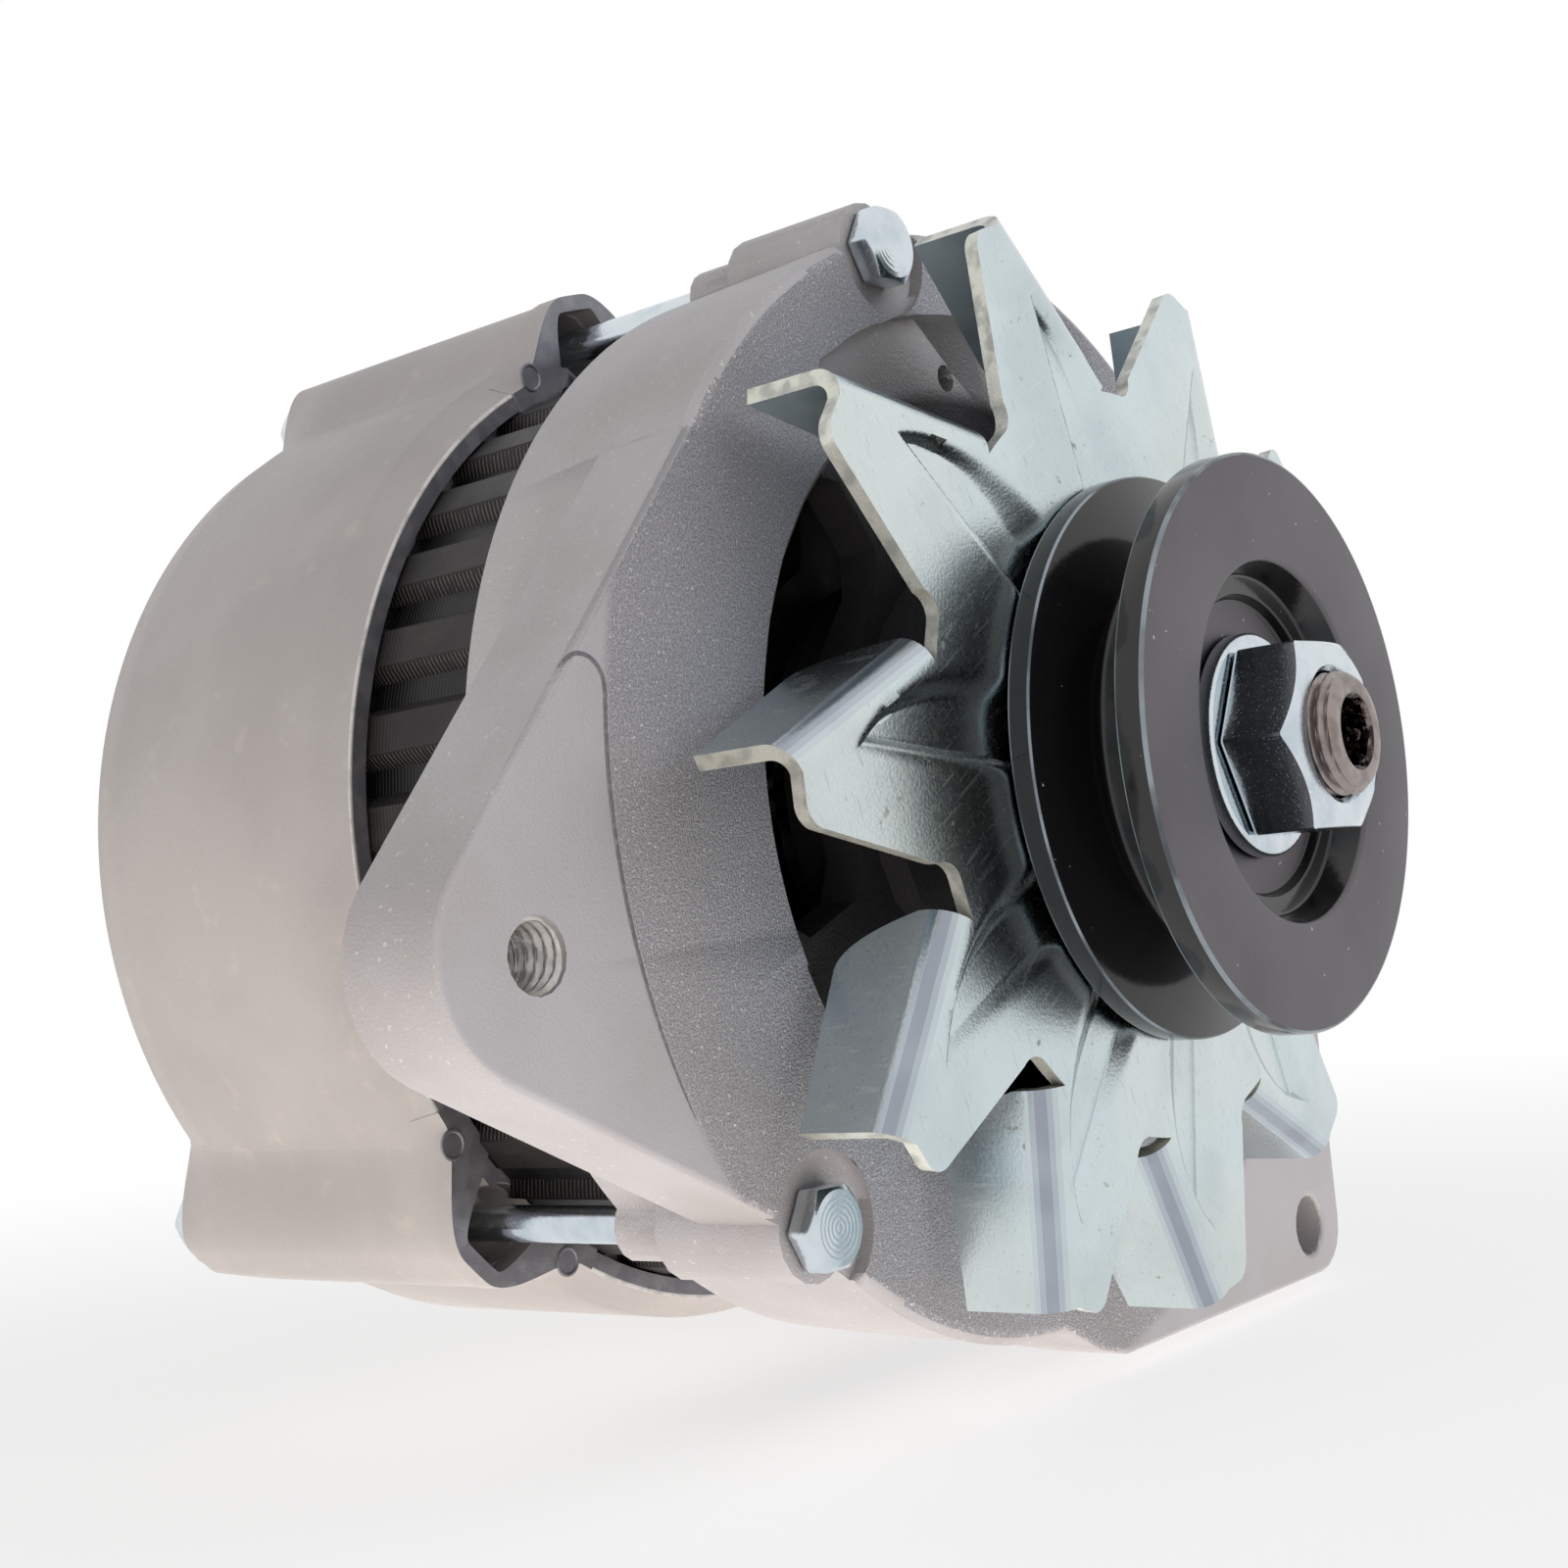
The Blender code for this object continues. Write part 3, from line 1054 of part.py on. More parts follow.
def build_through_bolts(body):
    """Three long bolts that clamp both brackets round the stator, with their nuts."""
    nut_t = TUBE_REAR_T + FIT
    for number, angle in enumerate(BOLT_ANGLES, start=1):
        x, z = polar(BOLT_CIRCLE_R, angle)
        head = hex_head(x, z, BOLT_HEAD_AF, BOLT_HEAD_REAR_T - BOLT_HEAD, BOLT_HEAD_REAR_T)
        shank = round_bar(x, z, BOLT_R, BOLT_HEAD_REAR_T - SINK, nut_t + BOLT_NUT + BOLT_END, 12)
        place(f"through_bolt_{number}", join(head, shank), zinc_plate(), body)
        nut = prism(hexagon(x, z, BOLT_NUT_AF), nut_t, nut_t + BOLT_NUT)
        bore = round_bar(x, z, BOLT_R + FIT, nut_t - OVERRUN, nut_t + BOLT_NUT + OVERRUN, 12)
        place(f"bolt_nut_{number}", cut(nut, bore), zinc_plate(), body)


def sector(inner, outer, start, end):
    """Outline of a ring sector."""
    return [*arc(0, 0, outer, start, end, 10), *arc(0, 0, inner, end, start, 7)]


def build_rectifier(body):
    """Two heat-sink plates on posts of the bell, with three diodes on each."""
    stud_x, stud_z = polar(STUD_CIRCLE_R, STUD_ANGLE)
    outline = sector(RECTIFIER_INNER_R, RECTIFIER_OUTER_R, RECTIFIER_FROM, RECTIFIER_TO)
    for name, front, stud_hole in (("rectifier_plate_output", RECTIFIER_T, STUD_R + FIT),
                                   ("rectifier_plate_earth", LOWER_PLATE_T, STUD_R + 3.0)):
        plate = prism(outline, front, front + RECTIFIER_PLATE)
        holes = [round_bar(*polar(POST_CIRCLE_R, angle), POST_SCREW_R + FIT, front - OVERRUN,
                           front + RECTIFIER_PLATE + OVERRUN, 10) for angle in POST_ANGLES]
        holes.append(round_bar(stud_x, stud_z, stud_hole, front - OVERRUN,
                               front + RECTIFIER_PLATE + OVERRUN, 14))
        place(name, cut(plate, *holes), bare_steel(), body)
    for number, angle in enumerate(UPPER_DIODE_ANGLES, start=1):
        x, z = polar(DIODE_CIRCLE_R, angle)
        start = RECTIFIER_MID_T + FIT
        place(f"diode_{number}", round_bar(x, z, DIODE_R, start, start + DIODE_HEIGHT, 14), bare_steel(), body)
    for number, angle in enumerate(LOWER_DIODE_ANGLES, start=4):
        x, z = polar(DIODE_CIRCLE_R - 2 * DIODE_R - 1.0, angle)
        end = LOWER_PLATE_T - FIT
        place(f"diode_{number}", round_bar(x, z, DIODE_R, end - DIODE_HEIGHT, end, 14), bare_steel(), body)
    for number, angle in enumerate(POST_ANGLES, start=1):
        x, z = polar(POST_CIRCLE_R, angle)
        low = RECTIFIER_MID_T + FIT
        high = LOWER_PLATE_T - FIT
        spacer = round_bar(x, z, POST_R, low, high, 14)
        bore = round_bar(x, z, POST_SCREW_R + FIT, low - OVERRUN, high + OVERRUN, 10)
        place(f"rectifier_spacer_{number}", cut(spacer, bore), black_plastic(), body)
        head_rear = RECTIFIER_T - FIT
        shank = round_bar(x, z, POST_SCREW_R, head_rear - SINK, LOWER_PLATE_REAR_T + POST_SCREW_DEPTH, 10)
        head = round_bar(x, z, POST_R - FIT, head_rear - POST_HEAD, head_rear, 14)
        place(f"rectifier_screw_{number}", join(shank, head), zinc_plate(), body)


def build_output_terminal(body):
    """Output stud from the rectifier through the rear wall, with its insulator and nut."""
    x, z = polar(STUD_CIRCLE_R, STUD_ANGLE)
    head_rear = RECTIFIER_T - FIT
    end = BELL_REAR_T + INSULATOR_FLANGE + STUD_PROUD
    head = prism(hexagon(x, z, STUD_HEAD_AF), head_rear - STUD_HEAD, head_rear)
    stud = join(head, round_bar(x, z, STUD_R, head_rear - SINK, end, 14))
    place("output_stud", stud, zinc_plate(), body)
    flange_t = BELL_REAR_T + FIT
    flange = round_bar(x, z, INSULATOR_FLANGE_R, flange_t, flange_t + INSULATOR_FLANGE, MEDIUM)
    bush = round_bar(x, z, INSULATOR_R, BELL_INNER_REAR_T, flange_t + SINK)
    bore = round_bar(x, z, STUD_R + FIT, BELL_INNER_REAR_T - OVERRUN, flange_t + INSULATOR_FLANGE + OVERRUN, 14)
    place("terminal_insulator", cut(join(flange, bush), bore), black_plastic(), body)
    nut_t = flange_t + INSULATOR_FLANGE + FIT
    nut = prism(hexagon(x, z, STUD_HEAD_AF), nut_t, nut_t + STUD_NUT)
    nut = cut(nut, round_bar(x, z, STUD_R + FIT, nut_t - OVERRUN, nut_t + STUD_NUT + OVERRUN, 14))
    place("terminal_nut", nut, zinc_plate(), body)


def spring_coil(low_z, high_z, t):
    """Compression spring upright above its brush, as a helix of round wire."""
    sides = 3
    around = 6
    radius = BRUSH_HALF_X - SPRING_WIRE_R - FIT
    rise = high_z - low_z - 2 * SPRING_WIRE_R
    bm = bmesh.new()
    rows = []
    for index in range(SPRING_TURNS * around + 1):
        angle = 2 * math.pi * index / around
        centre = Vector((radius * math.cos(angle), t + radius * math.sin(angle),
                         low_z + SPRING_WIRE_R + rise * index / (SPRING_TURNS * around)))
        outward = Vector((math.cos(angle), math.sin(angle), 0.0))
        row = []
        for side in range(sides):
            turn = 2 * math.pi * side / sides
            row.append(bm.verts.new(centre + outward * SPRING_WIRE_R * math.cos(turn)
                                    + Vector((0, 0, 1)) * SPRING_WIRE_R * math.sin(turn)))
        rows.append(row)
    for near, far in zip(rows, rows[1:]):
        for side in range(sides):
            after = (side + 1) % sides
            bm.faces.new([near[side], near[after], far[after], far[side]])
    bm.faces.new(rows[0])
    bm.faces.new(rows[-1])
    bmesh.ops.recalc_face_normals(bm, faces=bm.faces)
    return bm


def build_brush_gear(body):
    """Regulator, brush holder, and two brushes that slide in it above the slip rings."""
    centres = (BRUSH_T, BRUSH_T + SLIP_PITCH)
    side = BRUSH_HALF_X + FIT + HOLDER_WALL
    end = BRUSH_HALF_Y + FIT + HOLDER_WALL
    holder = block((-side, centres[0] - end, BRUSH_Z + HOLDER_FOOT), (side, centres[1] + end, HOLDER_TOP_Z))
    wells = [block((-BRUSH_HALF_X - FIT, t - BRUSH_HALF_Y - FIT, BRUSH_Z),
                   (BRUSH_HALF_X + FIT, t + BRUSH_HALF_Y + FIT, HOLDER_TOP_Z - HOLDER_WALL)) for t in centres]
    place("brush_holder", cut(holder, *wells), black_plastic(), body)
    for number, t in enumerate(centres, start=1):
        axis = axis_empty(f"brush_axis_{number}", body, 0.0, t, 0.0)
        brush = block((-BRUSH_HALF_X, -BRUSH_HALF_Y, BRUSH_Z), (BRUSH_HALF_X, BRUSH_HALF_Y, BRUSH_TOP_Z))
        place(f"brush_{number}", brush, pressed_carbon(), axis)
        coil = spring_coil(BRUSH_TOP_Z + FIT, HOLDER_TOP_Z - HOLDER_WALL - FIT, t)
        place(f"brush_spring_{number}", coil, bare_steel(), body)
    regulator = block((-REGULATOR_HALF_X, centres[0] - end, HOLDER_TOP_Z + FIT),
                      (REGULATOR_HALF_X, BELL_INNER_REAR_T - FIT, HOLDER_TOP_Z + FIT + REGULATOR_HEIGHT))
    place("voltage_regulator", regulator, black_plastic(), body)


def main():
    """Build the alternator, body by body."""
    for old in list(bpy.data.objects):
        bpy.data.objects.remove(old)
    body = axis_empty("shaft_line", None, SHAFT_X, SHAFT_Y, SHAFT_Z)
    rotor = axis_empty("rotor_axis", body, 0.0, 0.0, 0.0)
    front_cage = axis_empty("front_cage_axis", body, 0.0, 0.0, 0.0)
    rear_cage = axis_empty("rear_cage_axis", body, 0.0, 0.0, 0.0)
    build_pulley(rotor)
    build_shaft(rotor)
    build_nose_fasteners(rotor)
    build_spacer(rotor)
    build_fan(rotor)
    build_rotor_field(rotor)
    build_slip_rings(rotor)
    build_bearing("front_bearing", body, rotor, front_cage, FRONT_BEARING_T, FRONT_BEARING_WIDTH,
                  SHAFT_R + FIT, FRONT_BEARING_R)
    build_bearing("rear_bearing", body, rotor, rear_cage, REAR_BEARING_T, REAR_BEARING_WIDTH,
                  REAR_SEAT_R + FIT, REAR_BEARING_R)
    build_drive_end_bracket(body)
    build_slip_ring_end_bracket(body)
    build_stator_core(body)
    build_stator_winding(body)
    build_retainer(body)
    build_through_bolts(body)
    build_rectifier(body)
    build_output_terminal(body)
    build_brush_gear(body)


main()
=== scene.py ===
"""Looks of a belt-driven engine alternator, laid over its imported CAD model.

Local sizes are in millimetres: t is a distance behind the pulley's front face, x and z are measured from
the shaft, and angles turn clockwise from straight up, seen from the front.
"""
import logging
import math
from dataclasses import dataclass, field, replace
from enum import Enum

import bmesh
import bpy
import numpy as np
from mathutils import Matrix, Vector


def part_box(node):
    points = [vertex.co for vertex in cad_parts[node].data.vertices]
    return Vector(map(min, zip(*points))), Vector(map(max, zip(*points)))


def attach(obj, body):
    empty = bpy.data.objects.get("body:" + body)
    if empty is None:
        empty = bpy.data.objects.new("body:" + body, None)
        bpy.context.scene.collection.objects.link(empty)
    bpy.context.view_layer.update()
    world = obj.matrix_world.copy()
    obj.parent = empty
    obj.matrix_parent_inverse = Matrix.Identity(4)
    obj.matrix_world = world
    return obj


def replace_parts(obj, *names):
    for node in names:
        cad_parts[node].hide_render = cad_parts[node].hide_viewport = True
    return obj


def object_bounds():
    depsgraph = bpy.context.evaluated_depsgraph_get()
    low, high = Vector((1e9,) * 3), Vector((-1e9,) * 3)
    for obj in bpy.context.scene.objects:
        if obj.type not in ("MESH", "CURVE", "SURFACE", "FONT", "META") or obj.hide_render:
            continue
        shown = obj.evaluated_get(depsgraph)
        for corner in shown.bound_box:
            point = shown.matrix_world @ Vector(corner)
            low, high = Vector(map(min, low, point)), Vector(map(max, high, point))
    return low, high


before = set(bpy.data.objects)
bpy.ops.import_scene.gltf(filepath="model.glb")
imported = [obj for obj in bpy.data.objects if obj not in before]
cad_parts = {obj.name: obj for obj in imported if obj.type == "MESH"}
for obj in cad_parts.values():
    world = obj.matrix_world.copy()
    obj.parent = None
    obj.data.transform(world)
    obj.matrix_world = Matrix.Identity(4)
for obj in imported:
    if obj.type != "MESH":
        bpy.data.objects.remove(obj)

LOG = logging.getLogger("alternator")
CAD_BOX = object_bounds()
MM = 0.001
Array = np.ndarray
Place = tuple[float, float, float]
Corner = tuple[float, float, float, int]
Rings = list[tuple[Array | float, Array | float]]
Tree = bpy.types.NodeTree
Socket = bpy.types.NodeSocket


def shaft_origin() -> Array:
    """World place, in millimetres, of the pulley's front face centre."""
    low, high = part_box("pulley")
    return np.array([(low.x + high.x) / 2.0, low.y, (low.z + high.z) / 2.0]) / MM


ORIGIN = shaft_origin()


class Pattern(Enum):
    """Kinds of procedural pattern that a layer can use."""

    CLOUDS = "ShaderNodeTexNoise"
    LINES = "ShaderNodeTexWave"
    RADIUS = "ShaderNodeVectorMath"


class Body(Enum):
    """Bodies of the CAD model that pieces ride on."""

    HOUSING = "housing"
    ROTOR = "rotor"


def linear_colour(code: str) -> tuple[float, float, float, float]:
    """Linear colour of an sRGB hex code."""
    channels = np.array([int(code[i:i + 2], 16) for i in (0, 2, 4)]) / 255.0
    linear = np.where(channels <= 0.04045, channels / 12.92, ((channels + 0.055) / 1.055) ** 2.4)
    return (*linear.tolist(), 1.0)


def add_node(tree: Tree, kind: str, settings: dict | None = None,
             links: dict | None = None) -> bpy.types.Node:
    """Add a shader node, set it up and link its inputs.

    Args:
        tree: Node tree to add to.
        kind: Blender's name for the node.
        settings: Properties by name, and input values by number or name.
        links: Output sockets by input number or name.

    Returns:
        The node.
    """
    node = tree.nodes.new(kind)
    for key, value in (settings or {}).items():
        if isinstance(key, int) or key in node.inputs:
            node.inputs[key].default_value = value
        else:
            setattr(node, key, value)
    for key, socket in (links or {}).items():
        tree.links.new(socket, node.inputs[key])
    return node


def combined(tree: Tree, operation: str, first: Socket, second: Socket) -> Socket:
    """Socket with two values combined by a math operation."""
    return add_node(tree, "ShaderNodeMath", {"operation": operation}, {0: first, 1: second}).outputs[0]


def faded(tree: Tree, value: Socket, start: float, end: float, least: float = 0.0) -> Socket:
    """Socket that fades smoothly from least to 1 as a value goes from start to end."""
    settings = {"interpolation_type": 'SMOOTHSTEP', "From Min": start, "From Max": end, "To Min": least}
    return add_node(tree, "ShaderNodeMapRange", settings, {"Value": value}).outputs["Result"]


@dataclass(frozen=True)
class Layer:
    """A pattern over a finish, and what it changes where it shows.

    size is the pattern's pitch in millimetres, stretch multiplies it along X, Y and Z, and the layer
    fades in as the pattern goes from low to high. gloss is added to the roughness, relief is a height in
    millimetres. The RADIUS pattern is the distance from the shaft. inside keeps a layer within a radius,
    where it fades over inside_fade.
    """

    size: float
    low: float
    high: float
    pattern: Pattern = Pattern.CLOUDS
    colour: str = ""
    amount: float = 1.0
    gloss: float = 0.0
    relief: float = 0.0
    stretch: Place = (1.0, 1.0, 1.0)
    turn: Place = (0.0, 0.0, 0.0)
    detail: float = 3.0
    inside: float = 0.0
    inside_fade: float = 2.0

    @staticmethod
    def radius(tree: Tree, place: Socket) -> Socket:
        """Socket with the distance from the shaft in millimetres."""
        moved = add_node(tree, "ShaderNodeMapping", {"Scale": (1.0 / MM, 0.0, 1.0 / MM),
                                                     "Location": (-ORIGIN[0], 0.0, -ORIGIN[2])},
                         {"Vector": place})
        length = add_node(tree, Pattern.RADIUS.value, {"operation": 'LENGTH'}, {0: moved.outputs[0]})
        return length.outputs["Value"]

    def mask(self, tree: Tree, place: Socket) -> Socket:
        """Socket that runs from 0 to 1 where the layer shows.

        Args:
            tree: Node tree of the material.
            place: Object coordinates.

        Returns:
            The mask's socket.
        """
        if self.pattern is Pattern.RADIUS:
            value = self.radius(tree, place)
        else:
            scale = [1.0 / (self.size * MM * s) for s in self.stretch]
            turned = add_node(tree, "ShaderNodeMapping",
                              {"Rotation": [math.radians(a) for a in self.turn]}, {"Vector": place})
            sized = add_node(tree, "ShaderNodeMapping", {"Scale": scale}, {"Vector": turned.outputs[0]})
            settings = {"Scale": 1.0, "Detail": self.detail}
            if self.pattern is Pattern.LINES:
                settings = {"wave_profile": 'SIN', "bands_direction": 'Y', "Scale": math.pi / 10.0,
                            "Distortion": 0.0}
            value = add_node(tree, self.pattern.value, settings, {"Vector": sized.outputs[0]}).outputs["Fac"]
        fade = faded(tree, value, self.low, self.high)
        if not self.inside:
            return fade
        near = faded(tree, self.radius(tree, place), self.inside, self.inside - self.inside_fade)
        return combined(tree, 'MULTIPLY', fade, near)


@dataclass(frozen=True)
class Finish:
    """A surface finish: a base colour and gloss with layers of pattern over it."""

    name: str
    slot: str
    colour: str
    metallic: float
    roughness: float
    layers: tuple[Layer, ...] = ()
    coat: float = 0.0
    coat_roughness: float = 0.1

    @staticmethod
    def added(tree: Tree, mask: Socket, amount: float, base: float, last: Socket | None) -> Socket:
        """Socket with a layer's amount added to the value of the layers under it, or to a base value."""
        node = add_node(tree, "ShaderNodeMath", {"operation": 'MULTIPLY_ADD', 1: amount, 2: base}, {0: mask})
        if last:
            tree.links.new(last, node.inputs[2])
        return node.outputs[0]

    def material(self) -> bpy.types.Material:
        """Material of the finish, made once.

        Returns:
            The node material.
        """
        found = bpy.data.materials.get(self.name)
        if found:
            return found
        made = bpy.data.materials.new(self.name)
        made.use_nodes = True
        tree = made.node_tree
        shader = tree.nodes["Principled BSDF"]
        place = add_node(tree, "ShaderNodeTexCoord").outputs["Object"]
        colour = None
        gloss = None
        height = None
        for layer in self.layers:
            mask = layer.mask(tree, place)
            if layer.colour:
                share = add_node(tree, "ShaderNodeMath", {"operation": 'MULTIPLY', 1: layer.amount},
                                 {0: mask})
                mix = add_node(tree, "ShaderNodeMix", {"data_type": 'RGBA', 6: linear_colour(self.colour),
                                                       7: linear_colour(layer.colour)}, {0: share.outputs[0]})
                if colour:
                    tree.links.new(colour, mix.inputs[6])
                colour = mix.outputs[2]
            if layer.gloss:
                gloss = self.added(tree, mask, layer.gloss, self.roughness, gloss)
            if layer.relief:
                height = self.added(tree, mask, layer.relief * MM, 0.0, height)
        values = {"Base Color": linear_colour(self.colour), "Metallic": self.metallic,
                  "Roughness": self.roughness, "Coat Weight": self.coat,
                  "Coat Roughness": self.coat_roughness}
        for key, value in values.items():
            shader.inputs[key].default_value = value
        if colour:
            tree.links.new(colour, shader.inputs["Base Color"])
        if gloss:
            tree.links.new(gloss, shader.inputs["Roughness"])
        if height:
            bump = add_node(tree, "ShaderNodeBump", {"Strength": 1.0, "Distance": 1.0}, {"Height": height})
            tree.links.new(bump.outputs["Normal"], shader.inputs["Normal"])
        return made


GRAIN = Layer(0.4, 0.35, 0.7, relief=0.045, gloss=0.05, detail=2.0)
FINE_GRAIN = Layer(0.4, 0.3, 0.75, relief=0.008, gloss=0.05, detail=2.0)
FLOW = Layer(26.0, 0.35, 0.7, colour="928E8E", amount=0.6, detail=4.0)

# Blasted die-cast skin: fine grain, slow tone changes, handling marks, and painted shade that darkens it
# inside the air opening
CAST = Finish("blasted_aluminium", "cast_aluminium", "A3A1A4", 0.5, 0.46,
              (FLOW, GRAIN, Layer(0.9, 0.66, 0.74, colour="D2CFCB", amount=0.4, detail=2.0),
               # Painted shade: nearly black inside the air opening, fading in from r 57.5 to 54
               Layer(1.0, 57.5, 54.0, Pattern.RADIUS, "1B1A1C", amount=0.92)))
# Front face of the bracket: coarser blasting on the ring, painted paler and bluish towards the air opening,
# as painted light against the fan's shadow
CAST_FRONT = Finish("coarse_blasted_aluminium", "cast_aluminium", "9B9A9F", 0.5, 0.44,
                    # Painted light: paler and bluish from r 80 in to 56, lifting the fan's shadow on the ring
                    (FLOW, Layer(1.0, 80.0, 56.0, Pattern.RADIUS, "ABB2BE", amount=0.7),
                     Layer(0.3, 0.42, 0.58, colour="66686F", amount=0.6, detail=1.0, inside=85.0),
                     Layer(0.3, 0.42, 0.58, relief=-0.09, detail=1.0, inside=85.0),
                     Layer(0.4, 0.35, 0.7, relief=0.02, gloss=0.05, detail=2.0),
                     Layer(0.5, 0.62, 0.7, colour="DCDCE0", amount=0.6, detail=2.0, inside=85.0)))
# Smoother skin of the rear bell
CAST_SMOOTH = Finish("smooth_cast_aluminium", "cast_aluminium", "A09C9B", 0.5, 0.42,
                     (FLOW, Layer(0.5, 0.35, 0.7, relief=0.02, gloss=0.05, detail=2.0),
                      Layer(5.0, 0.6, 0.8, colour="AEA8A3", amount=0.5)))
# Painted shadow of a step between two levels of the casting
STEP_SHADOW_PAINT = Finish("painted_step_shadow", "cast_aluminium", "56555A", 0.4, 0.5,
                   (Layer(0.8, 0.4, 0.7, colour="7C7A7E", amount=0.6, relief=0.03),))
# Cast face cut by a lathe tool
CUT_CAST = Finish("machined_aluminium", "cast_aluminium", "7C7C84", 0.75, 0.4,
                  (Layer(3.0, 0.4, 0.7, colour="97979D", amount=0.6, gloss=0.08),
                   Layer(0.5, 0.4, 0.8, relief=0.02)))
# Rubbed bright corners of the casting, their brightness partly a painted highlight
RUBBED_HIGHLIGHT_CAST = Finish("rubbed_aluminium_painted_highlight", "cast_aluminium", "BFBCBA", 0.8, 0.34,
                     (Layer(2.0, 0.4, 0.7, colour="95928F", amount=0.6, gloss=0.12),
                      Layer(0.4, 0.4, 0.8, relief=0.02)))
# Bright zinc on pressed sheet, slightly rolled and scratched
SHEET_ZINC = Finish("zinc_plated_sheet", "zinc_plate", "CBD7DA", 1.0, 0.22,
                    (Layer(18.0, 0.4, 0.68, colour="B9C5C8", amount=0.7),
                     Layer(31.0, 0.42, 0.62, colour="DFE1D2", amount=0.25, detail=1.0),
                     FINE_GRAIN,
                     Layer(0.35, 0.6, 0.72, colour="EEF1EC", amount=0.14, gloss=0.05,
                           stretch=(18.0, 18.0, 1.0), turn=(0.0, 35.0, 0.0), detail=1.0),
                     Layer(0.3, 0.64, 0.72, colour="8F9A9C", amount=0.22, gloss=0.04,
                           stretch=(1.0, 1.0, 14.0), turn=(0.0, 20.0, 0.0), detail=1.0),
                     Layer(2.2, 0.68, 0.76, colour="8A7A66", amount=0.55, gloss=0.25)))
# Painted shade: darker, duller copy of the zinc for the rear side of the sheet
SHADED_ZINC = Finish("zinc_back_painted_shade", "zinc_plate", "A3B4BD", 0.72, 0.3,
                     (Layer(12.0, 0.4, 0.68, colour="8798A1", amount=0.7),
                      FINE_GRAIN))
# Painted reflection: zinc on the bend, darker towards the middle of the bend, standing in for the dark band
# that the bend reflects
BEND_REFLECTION_COLOURS = (("C2CCD1", "B8C3C8"), ("B2BBC1", "A4ADB4"), ("A1A8B1", "8F949F"))
BEND_REFLECTION_ZINC = tuple(replace(SHEET_ZINC, name=f"zinc_bend_painted_reflection_{number}", colour=colour, roughness=0.18,
                          layers=(Layer(9.0, 0.4, 0.66, colour=spot, amount=0.6, detail=1.0), FINE_GRAIN))
                  for number, (colour, spot) in enumerate(BEND_REFLECTION_COLOURS, start=1))
# Sheared edge of the zinc-plated sheet
SHEARED_EDGE = Finish("sheared_zinc_edge", "zinc_plate", "C6C8C0", 0.7, 0.27,
                      (Layer(2.6, 0.42, 0.66, colour="737675", amount=0.55, gloss=0.1),
                       Layer(0.25, 0.3, 0.8, relief=0.012)))
# Zinc plate of the fasteners
BOLT_ZINC = Finish("zinc_plated_fastener", "zinc_plate", "D2DADF", 1.0, 0.17,
                   (Layer(6.0, 0.4, 0.7, colour="AEBCC6", amount=0.6),
                    Layer(0.35, 0.5, 0.75, relief=0.008, gloss=0.12),
                    Layer(0.7, 0.68, 0.74, colour="F4F4F0", amount=0.6)))
# Face of the pulley, oxidised dark and finely turned
PULLEY_FACE = Finish("oxidised_pulley_face", "black_steel", "6A666A", 1.0, 0.4,
                     (Layer(30.0, 0.35, 0.7, colour="5A575A", amount=0.7),
                      Layer(0.3, 0.3, 0.8, relief=0.004, gloss=0.05),
                      Layer(1.1, 0.73, 0.76, colour="D9D7D2", amount=0.7)))
# Glossy black of the groove and rims
PULLEY_BLACK = Finish("gloss_black_steel", "black_steel", "0C0C0E", 0.0, 0.1,
                      (Layer(0.9, 0.35, 0.8, relief=0.003, gloss=0.06),
                       Layer(0.8, 0.76, 0.78, colour="B9BCC0", amount=0.6)))
# Painted highlight: bright metal on the rounded corners of the rims
PULLEY_EDGE_HIGHLIGHT = Finish("rim_edge_painted_highlight", "black_steel", "8E979C", 1.0, 0.2,
                     (Layer(14.0, 0.4, 0.62, colour="3A3C40", amount=0.8),
                      Layer(0.5, 0.4, 0.8, relief=0.004, gloss=0.08)))
# Ground steel
STEEL = Finish("ground_steel", "bare_steel", "9A918E", 1.0, 0.3,
               (Layer(2.2, 0.4, 0.7, colour="7A706C", amount=0.6, gloss=0.12),
                Layer(0.3, 0.4, 0.8, relief=0.006)))
# Darker steel inside the shaft's socket
DARK_SOCKET_STEEL = Finish("dark_socket_steel", "bare_steel", "3A302E", 1.0, 0.22,
                     (Layer(1.1, 0.45, 0.65, colour="8C837F", amount=0.7, gloss=0.1, relief=0.08),))
# Varnished stampings of the stator, seen on their stacked edges
STACK = Finish("varnished_stampings", "laminated_steel", "211E1D", 0.3, 0.42,
               (Layer(0.65, 0.25, 0.8, Pattern.LINES, "191717", amount=0.5, relief=0.03),
                Layer(2.4, 0.5, 0.8, colour="3C3835", amount=0.5, stretch=(1.0, 6.0, 1.0)),
                Layer(8.0, 0.4, 0.7, colour="171617", amount=0.5, gloss=0.1)))
# Painted shade on the varnish down in the grooves
STACK_GROOVE_SHADE = Finish("groove_varnish_painted_shade", "laminated_steel", "0B0B0E", 0.3, 0.34,
                    (Layer(0.65, 0.25, 0.8, Pattern.LINES, "17171B", amount=0.6, relief=0.05),
                     Layer(3.0, 0.45, 0.75, colour="211F1F", amount=0.5)))
# Sheared flank of the stampings: bright burrs between dark gaps
STACK_FLANK = Finish("sheared_stampings", "laminated_steel", "1C1A1B", 0.6, 0.4,
                     (Layer(0.75, 0.5, 0.85, Pattern.LINES, "77716C", amount=0.45, relief=0.06),
                      Layer(1.5, 0.45, 0.7, colour="26242A", amount=0.7)))
